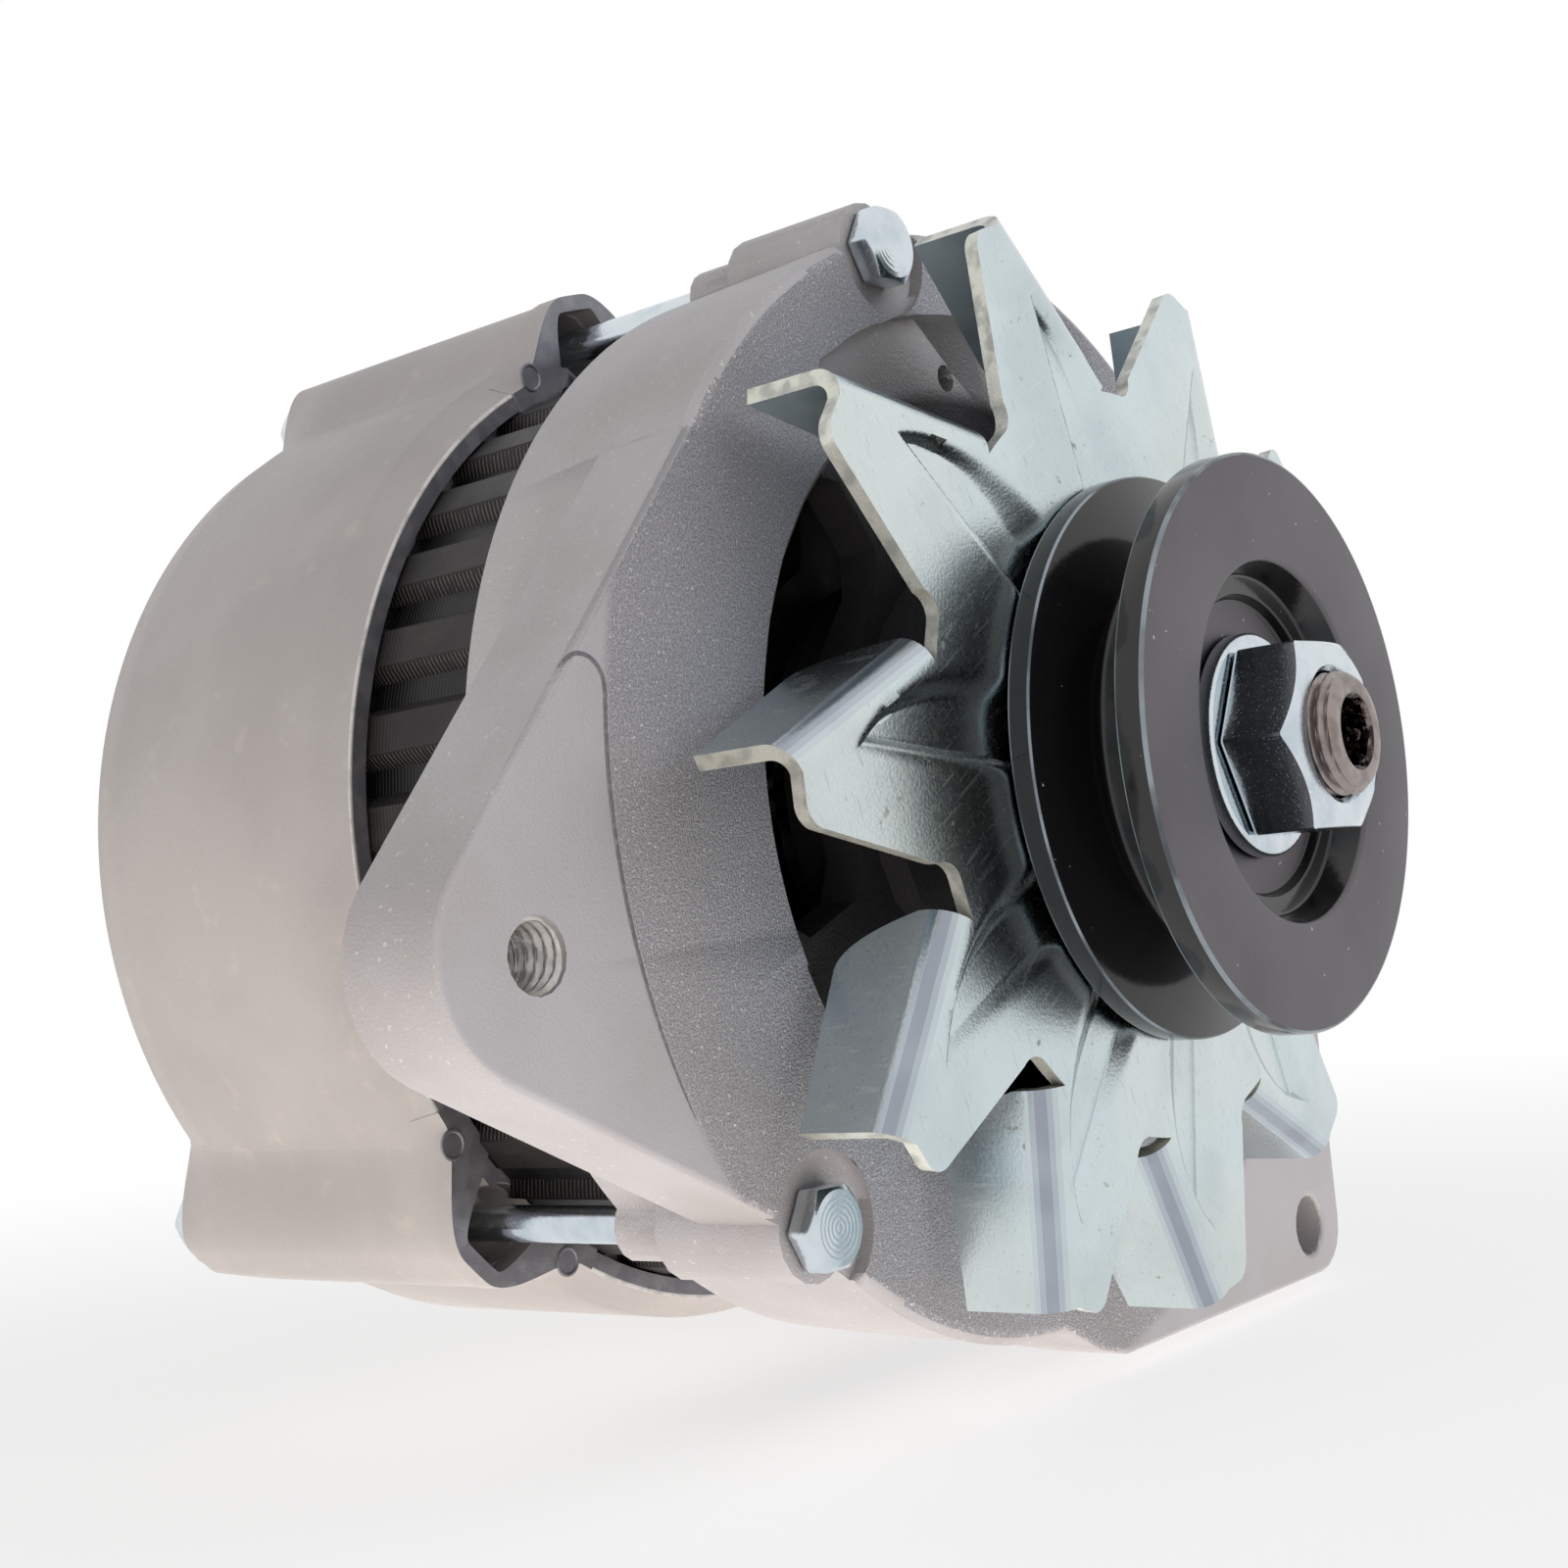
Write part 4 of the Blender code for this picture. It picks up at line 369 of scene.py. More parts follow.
# Enamelled copper under dark varnish
ENAMEL = Finish("varnished_copper_wire", "copper_enamel", "5A2C1A", 0.5, 0.35,
                (Layer(5.0, 0.35, 0.7, colour="2A1712", amount=0.8, gloss=0.15),
                 Layer(0.9, 0.4, 0.8, relief=0.08, stretch=(1.0, 3.0, 1.0))), coat=0.4)
# Turned copper of the slip rings
COPPER = Finish("turned_copper", "bright_copper", "B86B45", 1.0, 0.26,
                (Layer(0.3, 0.2, 0.9, Pattern.LINES, relief=0.006, gloss=0.08),
                 Layer(3.0, 0.4, 0.7, colour="8C4E33", amount=0.5)))
# Glass-filled moulded plastic
PLASTIC = Finish("moulded_black_plastic", "black_plastic", "1B1B1D", 0.0, 0.48,
                 (Layer(0.5, 0.3, 0.8, relief=0.02, gloss=0.1),
                  Layer(9.0, 0.4, 0.7, colour="28282B", amount=0.6)))
# Pressed carbon of the brushes
CARBON = Finish("pressed_carbon_brush", "pressed_carbon", "2E2C2B", 0.15, 0.62,
                (Layer(0.4, 0.4, 0.7, colour="55504D", amount=0.5, relief=0.02),))


def rounded(corners: list[Corner], steps: int = 4) -> tuple[Array, Array]:
    """Closed outline with filleted corners, and each row's finish number.

    Each fillet's centre lies on the corner's bisector, radius / sin(half angle) away, and its points turn
    evenly from the touch point on one side to the touch point on the other.

    Args:
        corners: (radius, t, fillet, finish number) of each corner in turn.
        steps: Faces in each fillet.

    Returns:
        Points (n, 2) and finish numbers (n,).
    """
    data = np.array([c[:3] for c in corners])
    here = data[:, :2]
    to_last = np.roll(here, 1, axis=0) - here
    to_next = np.roll(here, -1, axis=0) - here
    to_last /= np.linalg.norm(to_last, axis=1, keepdims=True)
    to_next /= np.linalg.norm(to_next, axis=1, keepdims=True)
    cosine = np.clip((to_last * to_next).sum(axis=1), -0.9999, 0.9999)
    half = np.arccos(cosine) / 2.0
    middle = to_last + to_next
    middle /= np.linalg.norm(middle, axis=1, keepdims=True)
    centre = here + middle * (data[:, 2] / np.sin(half))[:, None]
    touch = (data[:, 2] / np.tan(half))[:, None]
    first = here + to_last * touch - centre
    second = here + to_next * touch - centre
    turn = (math.pi - 2.0 * half)[:, None]
    share = np.linspace(0.0, 1.0, steps + 1)[None, :]
    a = (np.sin((1.0 - share) * turn) / np.sin(turn))[..., None]
    b = (np.sin(share * turn) / np.sin(turn))[..., None]
    points = centre[:, None, :] + a * first[:, None, :] + b * second[:, None, :]
    finishes = np.repeat([c[3] for c in corners], steps + 1)
    return points.reshape(-1, 2), finishes


def full_turn(count: int) -> Array:
    """Angles in radians of points evenly round a circle."""
    return np.linspace(0.0, 2.0 * math.pi, count, endpoint=False)


def rings(rows: Rings, angles: Array, centre: Array | tuple[float, float] = (0.0, 0.0)) -> Array:
    """Grid of rings round a centre: x = centre x + r sin a, z = centre z + r cos a, each at its own t.

    Args:
        rows: Radius and t of each ring, each a number or one value for every angle.
        angles: Angles in radians.
        centre: Local (x, z) of the centre.

    Returns:
        Points (rings, angles, 3).
    """
    radius, depth = (np.stack([np.broadcast_to(value, len(angles)) for value in column])
                     for column in zip(*rows))
    x = centre[0] + radius * np.sin(angles)
    z = centre[1] + radius * np.cos(angles)
    return np.stack([x, depth, z], axis=-1)


def hexagon(angles: Array, flats: float, trim: float) -> Array:
    """Radius of a hexagon at angles: half the flats over the cosine from the nearest flat's middle.

    Args:
        angles: Angles in radians.
        flats: Width across the flats.
        trim: How much the corners are cut back.

    Returns:
        Radii.
    """
    turned = (angles + math.pi / 6.0) % (math.pi / 3.0) - math.pi / 6.0
    return np.minimum(flats / 2.0 / np.cos(turned), flats / math.sqrt(3.0) - trim)


def screw_wave(lines: Array, angles: Array, pitch: float) -> Array:
    """Share of a thread's pitch at each t and angle: t / pitch - a / full turn, less its whole part."""
    return (lines[:, None] / pitch - angles[None, :] / (2.0 * math.pi)) % 1.0


def on_circle(radius: Array | float, degrees: Array | float) -> Array:
    """Points (x, z) at radii and clockwise angles."""
    angle = np.radians(degrees)
    return np.stack([radius * np.sin(angle), radius * np.cos(angle)], axis=-1)


def at_depth(flat: Array, depth: Array | float) -> Array:
    """Points (x, t, z) from points (x, z) and their depths."""
    return np.stack([flat[..., 0], np.broadcast_to(depth, flat.shape[:-1]), flat[..., 1]], axis=-1)


def capped(grid: Array) -> Array:
    """Grid of closed loops with both end loops drawn together to their middle points."""
    ends = [np.broadcast_to(grid[i].mean(axis=0), grid[i].shape)[None] for i in (0, -1)]
    return np.concatenate([ends[0], grid, ends[1]])


def read(items: bpy.types.bpy_prop_collection, key: str, width: int = 1, kind: type = float) -> Array:
    """Values of an attribute of all of a mesh's items.

    Args:
        items: Points, edges or faces.
        key: Name of the attribute.
        width: Numbers that each item has.
        kind: Type of the numbers.

    Returns:
        Values (items, width), or (items,) for a width of 1.
    """
    values = np.zeros(len(items) * width, dtype=kind)
    items.foreach_get(key, values)
    return values.reshape(-1, width) if width > 1 else values


def smooth_step(low: float, high: float, value: Array) -> Array:
    """Fade from 0 at low to 1 at high: 3 s^2 - 2 s^3."""
    share = np.clip((value - low) / (high - low), 0.0, 1.0)
    return share * share * (3.0 - 2.0 * share)


@dataclass
class Shell:
    """Grids of points, in local millimetres, that together make one piece."""

    name: str
    body: Body
    grids: list[Array] = field(default_factory=list)
    quads: list[Array] = field(default_factory=list)
    finishes: list[Array] = field(default_factory=list)
    count: int = 0

    def add(self, grid: Array, finish: int | Array = 0, around: bool = False, along: bool = False) -> None:
        """Add a grid of points, with quads between neighbours.

        Args:
            grid: Points (rows, columns, 3).
            finish: Finish number of all faces, or of each row of faces.
            around: Join the last column to the first.
            along: Join the last row to the first.
        """
        rows, columns = grid.shape[:2]
        row = np.arange(rows if along else rows - 1)[:, None]
        column = np.arange(columns if around else columns - 1)[None, :]
        below = (row + 1) % rows
        right = (column + 1) % columns
        quads = np.stack(np.broadcast_arrays(row * columns + column, row * columns + right,
                                             below * columns + right, below * columns + column), axis=-1)
        tones = np.asarray(finish)
        if tones.ndim:
            tones = tones[:len(row), None]
        self.finishes.append(np.broadcast_to(tones, quads.shape[:2]).reshape(-1))
        self.quads.append(quads.reshape(-1, 4) + self.count)
        self.grids.append(grid.reshape(-1, 3))
        self.count += rows * columns

    def make(self, finishes: list[Finish], sharp: float = 32.0, join: float = 0.003) -> bpy.types.Object:
        """Make the mesh object, merge touching points and turn its faces outwards.

        Args:
            finishes: Finishes by number.
            sharp: Angle in degrees past which an edge stays sharp.
            join: Distance in millimetres within which points become one.

        Returns:
            The object, riding on its body.
        """
        points = (np.concatenate(self.grids) + ORIGIN) * MM
        mesh = bpy.data.meshes.new(self.name)
        mesh.from_pydata(points.tolist(), [], np.concatenate(self.quads).tolist())
        mesh.polygons.foreach_set("material_index", np.concatenate(self.finishes).astype(np.int32))
        bm = bmesh.new()
        bm.from_mesh(mesh)
        bmesh.ops.remove_doubles(bm, verts=bm.verts, dist=join * MM)
        bmesh.ops.dissolve_degenerate(bm, edges=bm.edges, dist=join * MM)
        bmesh.ops.recalc_face_normals(bm, faces=bm.faces)
        bm.to_mesh(mesh)
        bm.free()
        return finish_piece(self.name, mesh, finishes, self.body, sharp)


def finish_piece(name: str, mesh: bpy.types.Mesh, finishes: list[Finish], body: Body,
                 sharp: float) -> bpy.types.Object:
    """Shade a mesh, give it its finishes and put it on its body.

    Args:
        name: Name of the piece.
        mesh: Mesh in world metres.
        finishes: Finishes by number.
        body: Body that it rides on.
        sharp: Angle in degrees past which an edge stays sharp.

    Returns:
        The object.
    """
    mesh.shade_smooth()
    mesh.set_sharp_from_angle(angle=math.radians(sharp))
    tones = read(mesh.polygons, "material_index", kind=np.int32)
    mesh.materials.clear()
    for finish in finishes:
        mesh.materials.append(finish.material())
    mesh.polygons.foreach_set("material_index", tones)
    piece = bpy.data.objects.new(name, mesh)
    bpy.context.scene.collection.objects.link(piece)
    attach(piece, body.value)
    return piece


def soften(piece: bpy.types.Object, width: float, segments: int = 2, angle: float = 35.0) -> None:
    """Round a piece's sharp edges.

    Args:
        piece: Object to change.
        width: Width of the rounding in millimetres.
        segments: Faces across it.
        angle: Smallest angle in degrees that counts as an edge.
    """
    bevel = piece.modifiers.new("soft_edges", 'BEVEL')
    bevel.width = width * MM
    bevel.segments = segments
    bevel.limit_method = 'ANGLE'
    bevel.angle_limit = math.radians(angle)
    bevel.harden_normals = True
    bevel.use_clamp_overlap = True


@dataclass(frozen=True)
class Lamp:
    """Square area lamp, in metres and watts, that looks at the machine unless it has an aim."""

    name: str
    place: Place
    size: float
    power: float
    colour: str
    aim: Place | None = None


@dataclass
class Studio:
    """Pale floor, soft lamps, white surroundings and the camera of the photograph, in metres.

    The camera sees the floor least_white white up to own_to from the machine, and plain white past
    white_to.
    """

    camera_place: Place = (-0.3366, -0.1641, 0.0567)
    right: Place = (0.6145, -0.7835, -0.0925)
    up: Place = (0.0, -0.1173, 0.9931)
    back: Place = (-0.7889, -0.6102, -0.0721)
    lens: float = 49.5
    shift: tuple[float, float] = (-0.0183, -0.006)
    floor_size: float = 8.0
    floor_colours: tuple[str, str] = ("FBFBFA", "F8F8F8")
    own_to: float = 0.1
    white_to: float = 0.6
    least_white: float = 0.7
    world_light: float = 0.38
    machine: Place = (-0.08, 0.02, 0.07)
    lamps: tuple[Lamp, ...] = (Lamp("front_lamp", (0.05, -1.0, 0.6), 1.0, 6.6, "F6F9FF"),
                               Lamp("left_lamp", (-1.0, 0.15, 0.6), 0.8, 2.5, "FFF8F0"),
                               Lamp("table_lamp", (-0.2, -0.05, CAD_BOX[0][2] + 0.001), 0.8, 5.0, "FFF3E6",
                                    (0.0, 0.0, 1.0)))

    def build(self) -> None:
        """Make the floor, the lamps, the world and the camera."""
        bpy.context.scene.view_settings.view_transform = 'Standard'
        self.build_floor()
        self.build_world()
        for lamp in self.lamps:
            self.build_lamp(lamp)
        self.build_camera()

    def build_floor(self) -> None:
        """Pale floor at the CAD model's lowest point."""
        half = self.floor_size / 2.0
        level = CAD_BOX[0][2]
        mesh = bpy.data.meshes.new("floor")
        corners = [(-half, -half, level), (half, -half, level), (half, half, level), (-half, half, level)]
        mesh.from_pydata(corners, [], [(0, 1, 2, 3)])
        floor = bpy.data.objects.new("floor", mesh)
        bpy.context.scene.collection.objects.link(floor)
        material = bpy.data.materials.new("pale_floor")
        material.use_nodes = True
        tree = material.node_tree
        shader = tree.nodes["Principled BSDF"]
        shader.inputs["Roughness"].default_value = 0.9
        shader.inputs["Specular IOR Level"].default_value = 0.0
        place = add_node(tree, "ShaderNodeTexCoord").outputs["Object"]
        cloud = add_node(tree, "ShaderNodeTexNoise", {"Scale": 3.0}, {"Vector": place})
        first, second = (linear_colour(code) for code in self.floor_colours)
        mix = add_node(tree, "ShaderNodeMix", {"data_type": 'RGBA', 6: first, 7: second},
                       {0: cloud.outputs["Fac"]})
        tree.links.new(mix.outputs[2], shader.inputs["Base Color"])
        distance = add_node(tree, "ShaderNodeVectorMath",
                            {"operation": 'DISTANCE', 1: (*self.machine[:2], level)}, {0: place})
        fade = faded(tree, distance.outputs["Value"], self.own_to, self.white_to, self.least_white)
        path = add_node(tree, "ShaderNodeLightPath")
        seen = combined(tree, 'MULTIPLY', path.outputs["Is Camera Ray"], fade)
        share = combined(tree, 'MAXIMUM', seen, path.outputs["Is Glossy Ray"])
        white = add_node(tree, "ShaderNodeEmission", {"Strength": 1.0})
        blend = add_node(tree, "ShaderNodeMixShader", None,
                         {0: share, 1: shader.outputs[0], 2: white.outputs[0]})
        tree.links.new(blend.outputs[0], tree.nodes["Material Output"].inputs["Surface"])
        mesh.materials.append(material)

    def build_world(self) -> None:
        """White for rays that see the background, a plain level for rays that light the object."""
        world = bpy.data.worlds.new("studio")
        bpy.context.scene.world = world
        world.use_nodes = True
        tree = world.node_tree
        path = add_node(tree, "ShaderNodeLightPath")
        seen = combined(tree, 'MAXIMUM', path.outputs["Is Camera Ray"], path.outputs["Is Glossy Ray"])
        seen = combined(tree, 'MAXIMUM', seen, path.outputs["Is Transmission Ray"])
        level = add_node(tree, "ShaderNodeMapRange", {"To Min": self.world_light, "To Max": 1.0},
                         {"Value": seen})
        background = tree.nodes["Background"]
        background.inputs["Color"].default_value = (1.0, 1.0, 1.0, 1.0)
        tree.links.new(level.outputs["Result"], background.inputs["Strength"])

    def build_lamp(self, lamp: Lamp) -> None:
        """Lamp at its place, turned to its aim and hidden from the camera and from reflections."""
        data = bpy.data.lights.new(lamp.name, 'AREA')
        data.size = lamp.size
        data.energy = lamp.power
        data.color = linear_colour(lamp.colour)[:3]
        made = bpy.data.objects.new(lamp.name, data)
        bpy.context.scene.collection.objects.link(made)
        made.visible_camera = False
        made.visible_glossy = False
        away = -Vector(lamp.aim) if lamp.aim else Vector(lamp.place) - Vector(self.machine)
        turn = away.to_track_quat('Z', 'Y').to_matrix().to_4x4()
        made.matrix_world = Matrix.Translation(lamp.place) @ turn

    def build_camera(self) -> None:
        """Camera at the photograph's place, turn and lens."""
        data = bpy.data.cameras.new("photo_camera")
        data.lens = self.lens
        data.sensor_width = 36.0
        data.shift_x, data.shift_y = self.shift
        data.clip_start = 0.01
        camera = bpy.data.objects.new("photo_camera", data)
        bpy.context.scene.collection.objects.link(camera)
        turn = Matrix((self.right, self.up, self.back)).transposed().to_4x4()
        camera.matrix_world = Matrix.Translation(self.camera_place) @ turn
        bpy.context.scene.camera = camera


@dataclass
class Fan:
    """Pressed cooling fan: petals with embossed triangles, each with one side bent back as a vane.

    pocket has the (radius, angle) of the triangle's foot, bowed middle, tip and straight side's foot. Its
    soft slope narrows to a quarter over narrow_run before narrow_r. The bend is fully round from bend_run
    past the root, and the vane rises past rise_from over rise_run by a power curve.
    """

    root_angles: tuple[float, ...] = (42.7, 2.3, -34.9, -71.3, -106.6, -137.4, -168.1, -200.1, -229.5, -259.5,
                                      -289.0)
    sheet: float = 2.0
    face_t: float = 19.2
    cone_slope: float = 0.0955
    cone_from_r: float = 38.0
    hub_t: float = 21.8
    bore_r: float = 8.8
    hub_r: float = 33.0
    ridge_r: float = 36.4
    root_r: float = 50.6
    notch_r: float = 3.0
    bend_r: float = 75.7
    bend_sweep: float = 17.2
    tip_r: float = 74.0
    tip_sweep: float = 24.3
    corner_r: float = 2.3
    bend_inside_r: float = 2.0
    start_sweep: float = 6.0
    vane_rear_t: float = 36.8
    pocket_depth: float = 1.6
    soft_slope: float = 5.2
    crisp_slope: float = 2.2
    plain_share: float = 0.05
    pocket: tuple[tuple[float, float], ...] = ((36.4, -2.6), (55.5, -10.0), (65.4, -17.9), (36.4, -22.8))
    narrow_r: float = 66.5
    narrow_run: float = 26.0
    bend_run: float = 3.4
    rise_from: float = 3.2
    rise_run: float = 7.8
    rise_power: float = 2.2
    root_columns: int = 7
    notch_rows: int = 9
    across: int = 44
    inner_rows: int = 22
    outer_rows: int = 46

    def build(self) -> None:
        """Build all petals and vanes as one sheet, give it its thickness and dress it."""
        shell = Shell("pressed_fan", Body.ROTOR)
        angles = np.array(self.root_angles)
        gaps = angles - np.roll(angles, -1)
        gaps[-1] += 360.0
        for turn, gap in zip(angles, gaps):
            self.add_petal(shell, turn, gap)
        front = [SHEET_ZINC, *BEND_REFLECTION_ZINC]
        fan = shell.make(front + [SHADED_ZINC] * len(front) + [SHEARED_EDGE], sharp=40.0)
        if fan.data.polygons[0].normal.y > 0.0:
            fan.data.flip_normals()
        wall = fan.modifiers.new("sheet", 'SOLIDIFY')
        wall.thickness = self.sheet * MM
        wall.offset = 0.0
        wall.use_quality_normals = True
        # The sheet's rear side takes the darker copies: painted shade
        wall.material_offset = len(front)
        wall.material_offset_rim = 2 * len(front)
        soften(fan, 0.4, 2, 55.0)
        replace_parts(fan, "cooling_fan")

    def sides(self, gap: float) -> tuple[Array, Array, Array]:
        """Both long sides of a petal outside its roots, and distances along its bend.

        The first side runs straight along the bend, the second from the next notch's floor round its
        quarter circle and straight to the free corner.

        Args:
            gap: Degrees from this petal's root to the next one.

        Returns:
            First side (n, 2), second side (n, 2), and distance along the bend (n,).
        """
        rows = np.arange(self.outer_rows + 1)
        root = np.array([0.0, self.root_r])
        corner = on_circle(self.bend_r, -self.bend_sweep)
        along = corner - root
        length = np.linalg.norm(along)
        along /= length
        outward = np.array([along[1], -along[0]])
        inset = outward * (self.bend_inside_r + self.sheet)
        share = np.clip(rows / self.notch_rows, 0.0, 1.0)[:, None]
        rest = np.clip((rows - self.notch_rows) / (self.outer_rows - self.notch_rows), 0.0, 1.0)[:, None]
        start = on_circle(self.root_r, -self.start_sweep)
        first = start + (corner - inset - start) * (rows / self.outer_rows)[:, None]
        run = (first + inset - root) @ along
        quarter = np.radians(180.0 - 90.0 * share[:, 0])
        notch = np.stack([self.notch_r * np.sin(quarter),
                          self.root_r + self.notch_r + self.notch_r * np.cos(quarter)], axis=-1)
        spin = math.radians(-gap)
        matrix = np.array([[math.cos(spin), -math.sin(spin)], [math.sin(spin), math.cos(spin)]])
        notch = notch @ matrix
        free = on_circle(self.tip_r, -self.tip_sweep)
        second = notch + (free - notch[-1]) * rest
        return first, second, run

    def sheet_level(self, points: Array, sides: Array) -> Array:
        """Depth of the sheet's middle: flat hub, shallow cone, and the pressed triangle's floor.

        The triangle's depth is the product of two smooth fades, wide from its bowed side and narrow
        from its straight side.

        Args:
            points: Local (x, z) with the petal's root straight up.
            sides: Share from 0 to 1 across the petal; nothing is pressed at either end.

        Returns:
            t of the sheet's middle.
        """
        radius = np.hypot(points[..., 0], points[..., 1])
        cone = self.face_t + self.sheet / 2.0 + self.cone_slope * (radius - self.cone_from_r)
        foot, bow, tip, other = on_circle(*np.array(self.pocket).T)
        system = 2.0 * np.array([bow - foot, tip - foot])
        right_side = np.array([bow @ bow - foot @ foot, tip @ tip - foot @ foot])
        centre = np.linalg.solve(system, right_side)
        bowed = np.linalg.norm(foot - centre) - np.linalg.norm(points - centre, axis=-1)
        line = (tip - other) / np.linalg.norm(tip - other)
        normal = np.array([line[1], -line[0]])
        straight = (points - other) @ normal
        narrowing = np.clip((self.narrow_r - radius) / self.narrow_run, 0.25, 1.0)
        wide = smooth_step(0.0, self.soft_slope * narrowing, bowed)
        thin = smooth_step(0.0, self.crisp_slope, straight)
        inside = smooth_step(0.0, self.plain_share, sides) * smooth_step(0.0, self.plain_share, 1.0 - sides)
        pressed = cone + self.pocket_depth * wide * thin * inside
        rise = smooth_step(self.hub_r - 0.5, self.ridge_r + 1.5, radius)
        return self.hub_t + (pressed - self.hub_t) * rise

    def add_petal(self, shell: Shell, turn: float, gap: float) -> None:
        """Add one petal's sheet and its vane.

        Inside the roots a point is at (r, -u gap). Outside them, from where the bend starts, it lies on
        the straight line between both sides, moved by the arc's bulge, which fades out to the tip. The
        vane's rows go round the bend at the middle radius, then straight back by a share of the depth.

        Args:
            shell: Shell to add to.
            turn: Clockwise angle of the petal's root.
            gap: Degrees to the next root.
        """
        first_u = self.start_sweep / gap
        root = self.root_columns
        u = np.concatenate([np.linspace(0.0, first_u, root + 1)[:-1], np.linspace(first_u, 1.0, self.across)])
        radii = np.concatenate([np.linspace(self.bore_r, self.hub_r, 4)[:-1],
                                np.linspace(self.hub_r, self.root_r, self.inner_rows)])
        inner = on_circle(radii[:, None], -u[None, :] * gap)
        inner_t = self.sheet_level(inner, np.broadcast_to(u, inner.shape[:2]))
        shell.add(self.turned(at_depth(inner, inner_t), turn))
        first, second, distance = self.sides(gap)
        s = np.linspace(0.0, 1.0, self.across)[None, :, None]
        outer = first[:, None, :] * (1.0 - s) + second[:, None, :] * s
        fade = ((1.0 - np.linspace(0.0, 1.0, len(first))) ** 2)[:, None, None]
        outer = self.round_corner(outer + (inner[-1, root:] - outer[0])[None] * fade)
        outer_t = self.sheet_level(outer, np.broadcast_to(u[root:], outer.shape[:2]))
        shell.add(self.turned(at_depth(outer, outer_t), turn))
        line = outer[:, 0]
        depth = outer_t[:, 0]
        along = (line[-1] - line[0]) / np.linalg.norm(line[-1] - line[0])
        outward = np.array([along[1], -along[0]])
        middle_r = self.bend_inside_r + self.sheet / 2.0
        round_in = np.sqrt(1.0 - (1.0 - np.clip(distance / self.bend_run, 0.0, 1.0)) ** 2)
        bend = np.radians(np.linspace(0.0, 90.0, 9))[:, None] * round_in[None, :]
        rise = np.clip((distance - self.rise_from) / self.rise_run, 0.0, 1.0)
        share = 1.0 - (1.0 - rise) ** self.rise_power
        reach = share * (self.vane_rear_t - depth - middle_r)
        straight = np.linspace(0.0, 1.0, 4)[1:, None]
        across = np.concatenate([middle_r * np.sin(bend), np.tile(middle_r * np.sin(bend[-1]), (3, 1))])
        curl = middle_r * (1.0 - np.cos(bend))
        back = np.concatenate([curl, curl[-1] + straight * reach[None, :]])
        place = line[None, :, :] + across[:, :, None] * outward[None, None, :]
        # Bend rows darken towards the middle: a painted reflection band
        tones = np.array([0, 0, 1, 2, 3, 3, 2, 1, 0, 0, 0])
        shell.add(self.turned(at_depth(place, depth[None, :] + back), turn), tones)

    def round_corner(self, outer: Array) -> Array:
        """Petal with its free corner rounded.

        Inside the corner's square a point at shares (u, v) of its side moves to u sqrt(1 - v^2 / 2) and
        v sqrt(1 - u^2 / 2), which turns the square into a quarter disc.

        Args:
            outer: Points (rows, columns, 2); the free corner is the last of both.

        Returns:
            The moved points.
        """
        corner = outer[-1, -1]
        back = -self.notch_rows - 1
        sides = np.stack([outer[back, -1] - corner, outer[-1, back] - corner])
        sides /= np.linalg.norm(sides, axis=1, keepdims=True)
        shares = 1.0 - (outer - corner) @ np.linalg.inv(sides) / self.corner_r
        near = (shares > 0.0).all(axis=-1, keepdims=True)
        bent = shares * np.sqrt(np.maximum(1.0 - shares[..., ::-1] ** 2 / 2.0, 0.0))
        return np.where(near, corner + self.corner_r * (1.0 - bent) @ sides, outer)

    @staticmethod
    def turned(points: Array, degrees: float) -> Array:
        """Points carried clockwise round the shaft by an angle."""
        angle = math.radians(degrees)
        x = points[..., 0] * math.cos(angle) + points[..., 2] * math.sin(angle)
        z = points[..., 2] * math.cos(angle) - points[..., 0] * math.sin(angle)
        return np.stack([x, points[..., 1], z], axis=-1)


@dataclass
class Pulley:
    """Turned V-belt pulley with a stepped recess in its face."""

    rim_r: float = 38.0
    width: float = 18.9
    groove_front_t: float = 3.8
    groove_width: float = 11.9
    groove_depth: float = 11.0
    half_angle: float = 18.0
    recess_r: float = 23.8
    step_r: float = 19.6
    step_t: float = 4.4
    floor_t: float = 6.0
    boss_r: float = 20.0
    boss_t: float = 20.5
    bore_r: float = 8.8
    segments: int = 256

    def build(self) -> None:
        """Carry the profile round the shaft and dress face, rims and groove."""
        narrowing = self.groove_depth * math.tan(math.radians(self.half_angle))
        rear = self.groove_front_t + self.groove_width
        floor_r = self.rim_r - self.groove_depth
        corners = [(self.recess_r, 0.0, 0.7, 0), (self.rim_r, 0.0, 0.45, 1),
                   (self.rim_r, self.groove_front_t, 0.35, 1),
                   (floor_r, self.groove_front_t + narrowing, 0.8, 1),
                   (floor_r, rear - narrowing, 0.8, 1), (self.rim_r, rear, 0.35, 1),
                   (self.rim_r, self.width, 0.45, 1), (self.boss_r, self.width, 0.3, 1),
                   (self.boss_r, self.boss_t, 0.3, 1), (self.bore_r, self.boss_t, 0.3, 1),
                   (self.bore_r, self.floor_t, 0.3, 0), (self.step_r, self.floor_t, 0.4, 1),
                   (self.step_r + 0.4, self.step_t, 0.3, 1), (self.recess_r - 1.2, self.step_t, 0.5, 1)]
        profile, finishes = rounded(corners)
        rims = [i for i, c in enumerate(corners) if c[0] == self.rim_r]
        # Rim corners get the painted highlight
        finishes.reshape(len(corners), -1)[rims, :-1] = 2
        shell = Shell("turned_pulley", Body.ROTOR)
        shell.add(rings(profile.tolist(), full_turn(self.segments)), finishes, around=True, along=True)
        pulley = shell.make([PULLEY_FACE, PULLEY_BLACK, PULLEY_EDGE_HIGHLIGHT])
        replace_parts(pulley, "pulley")


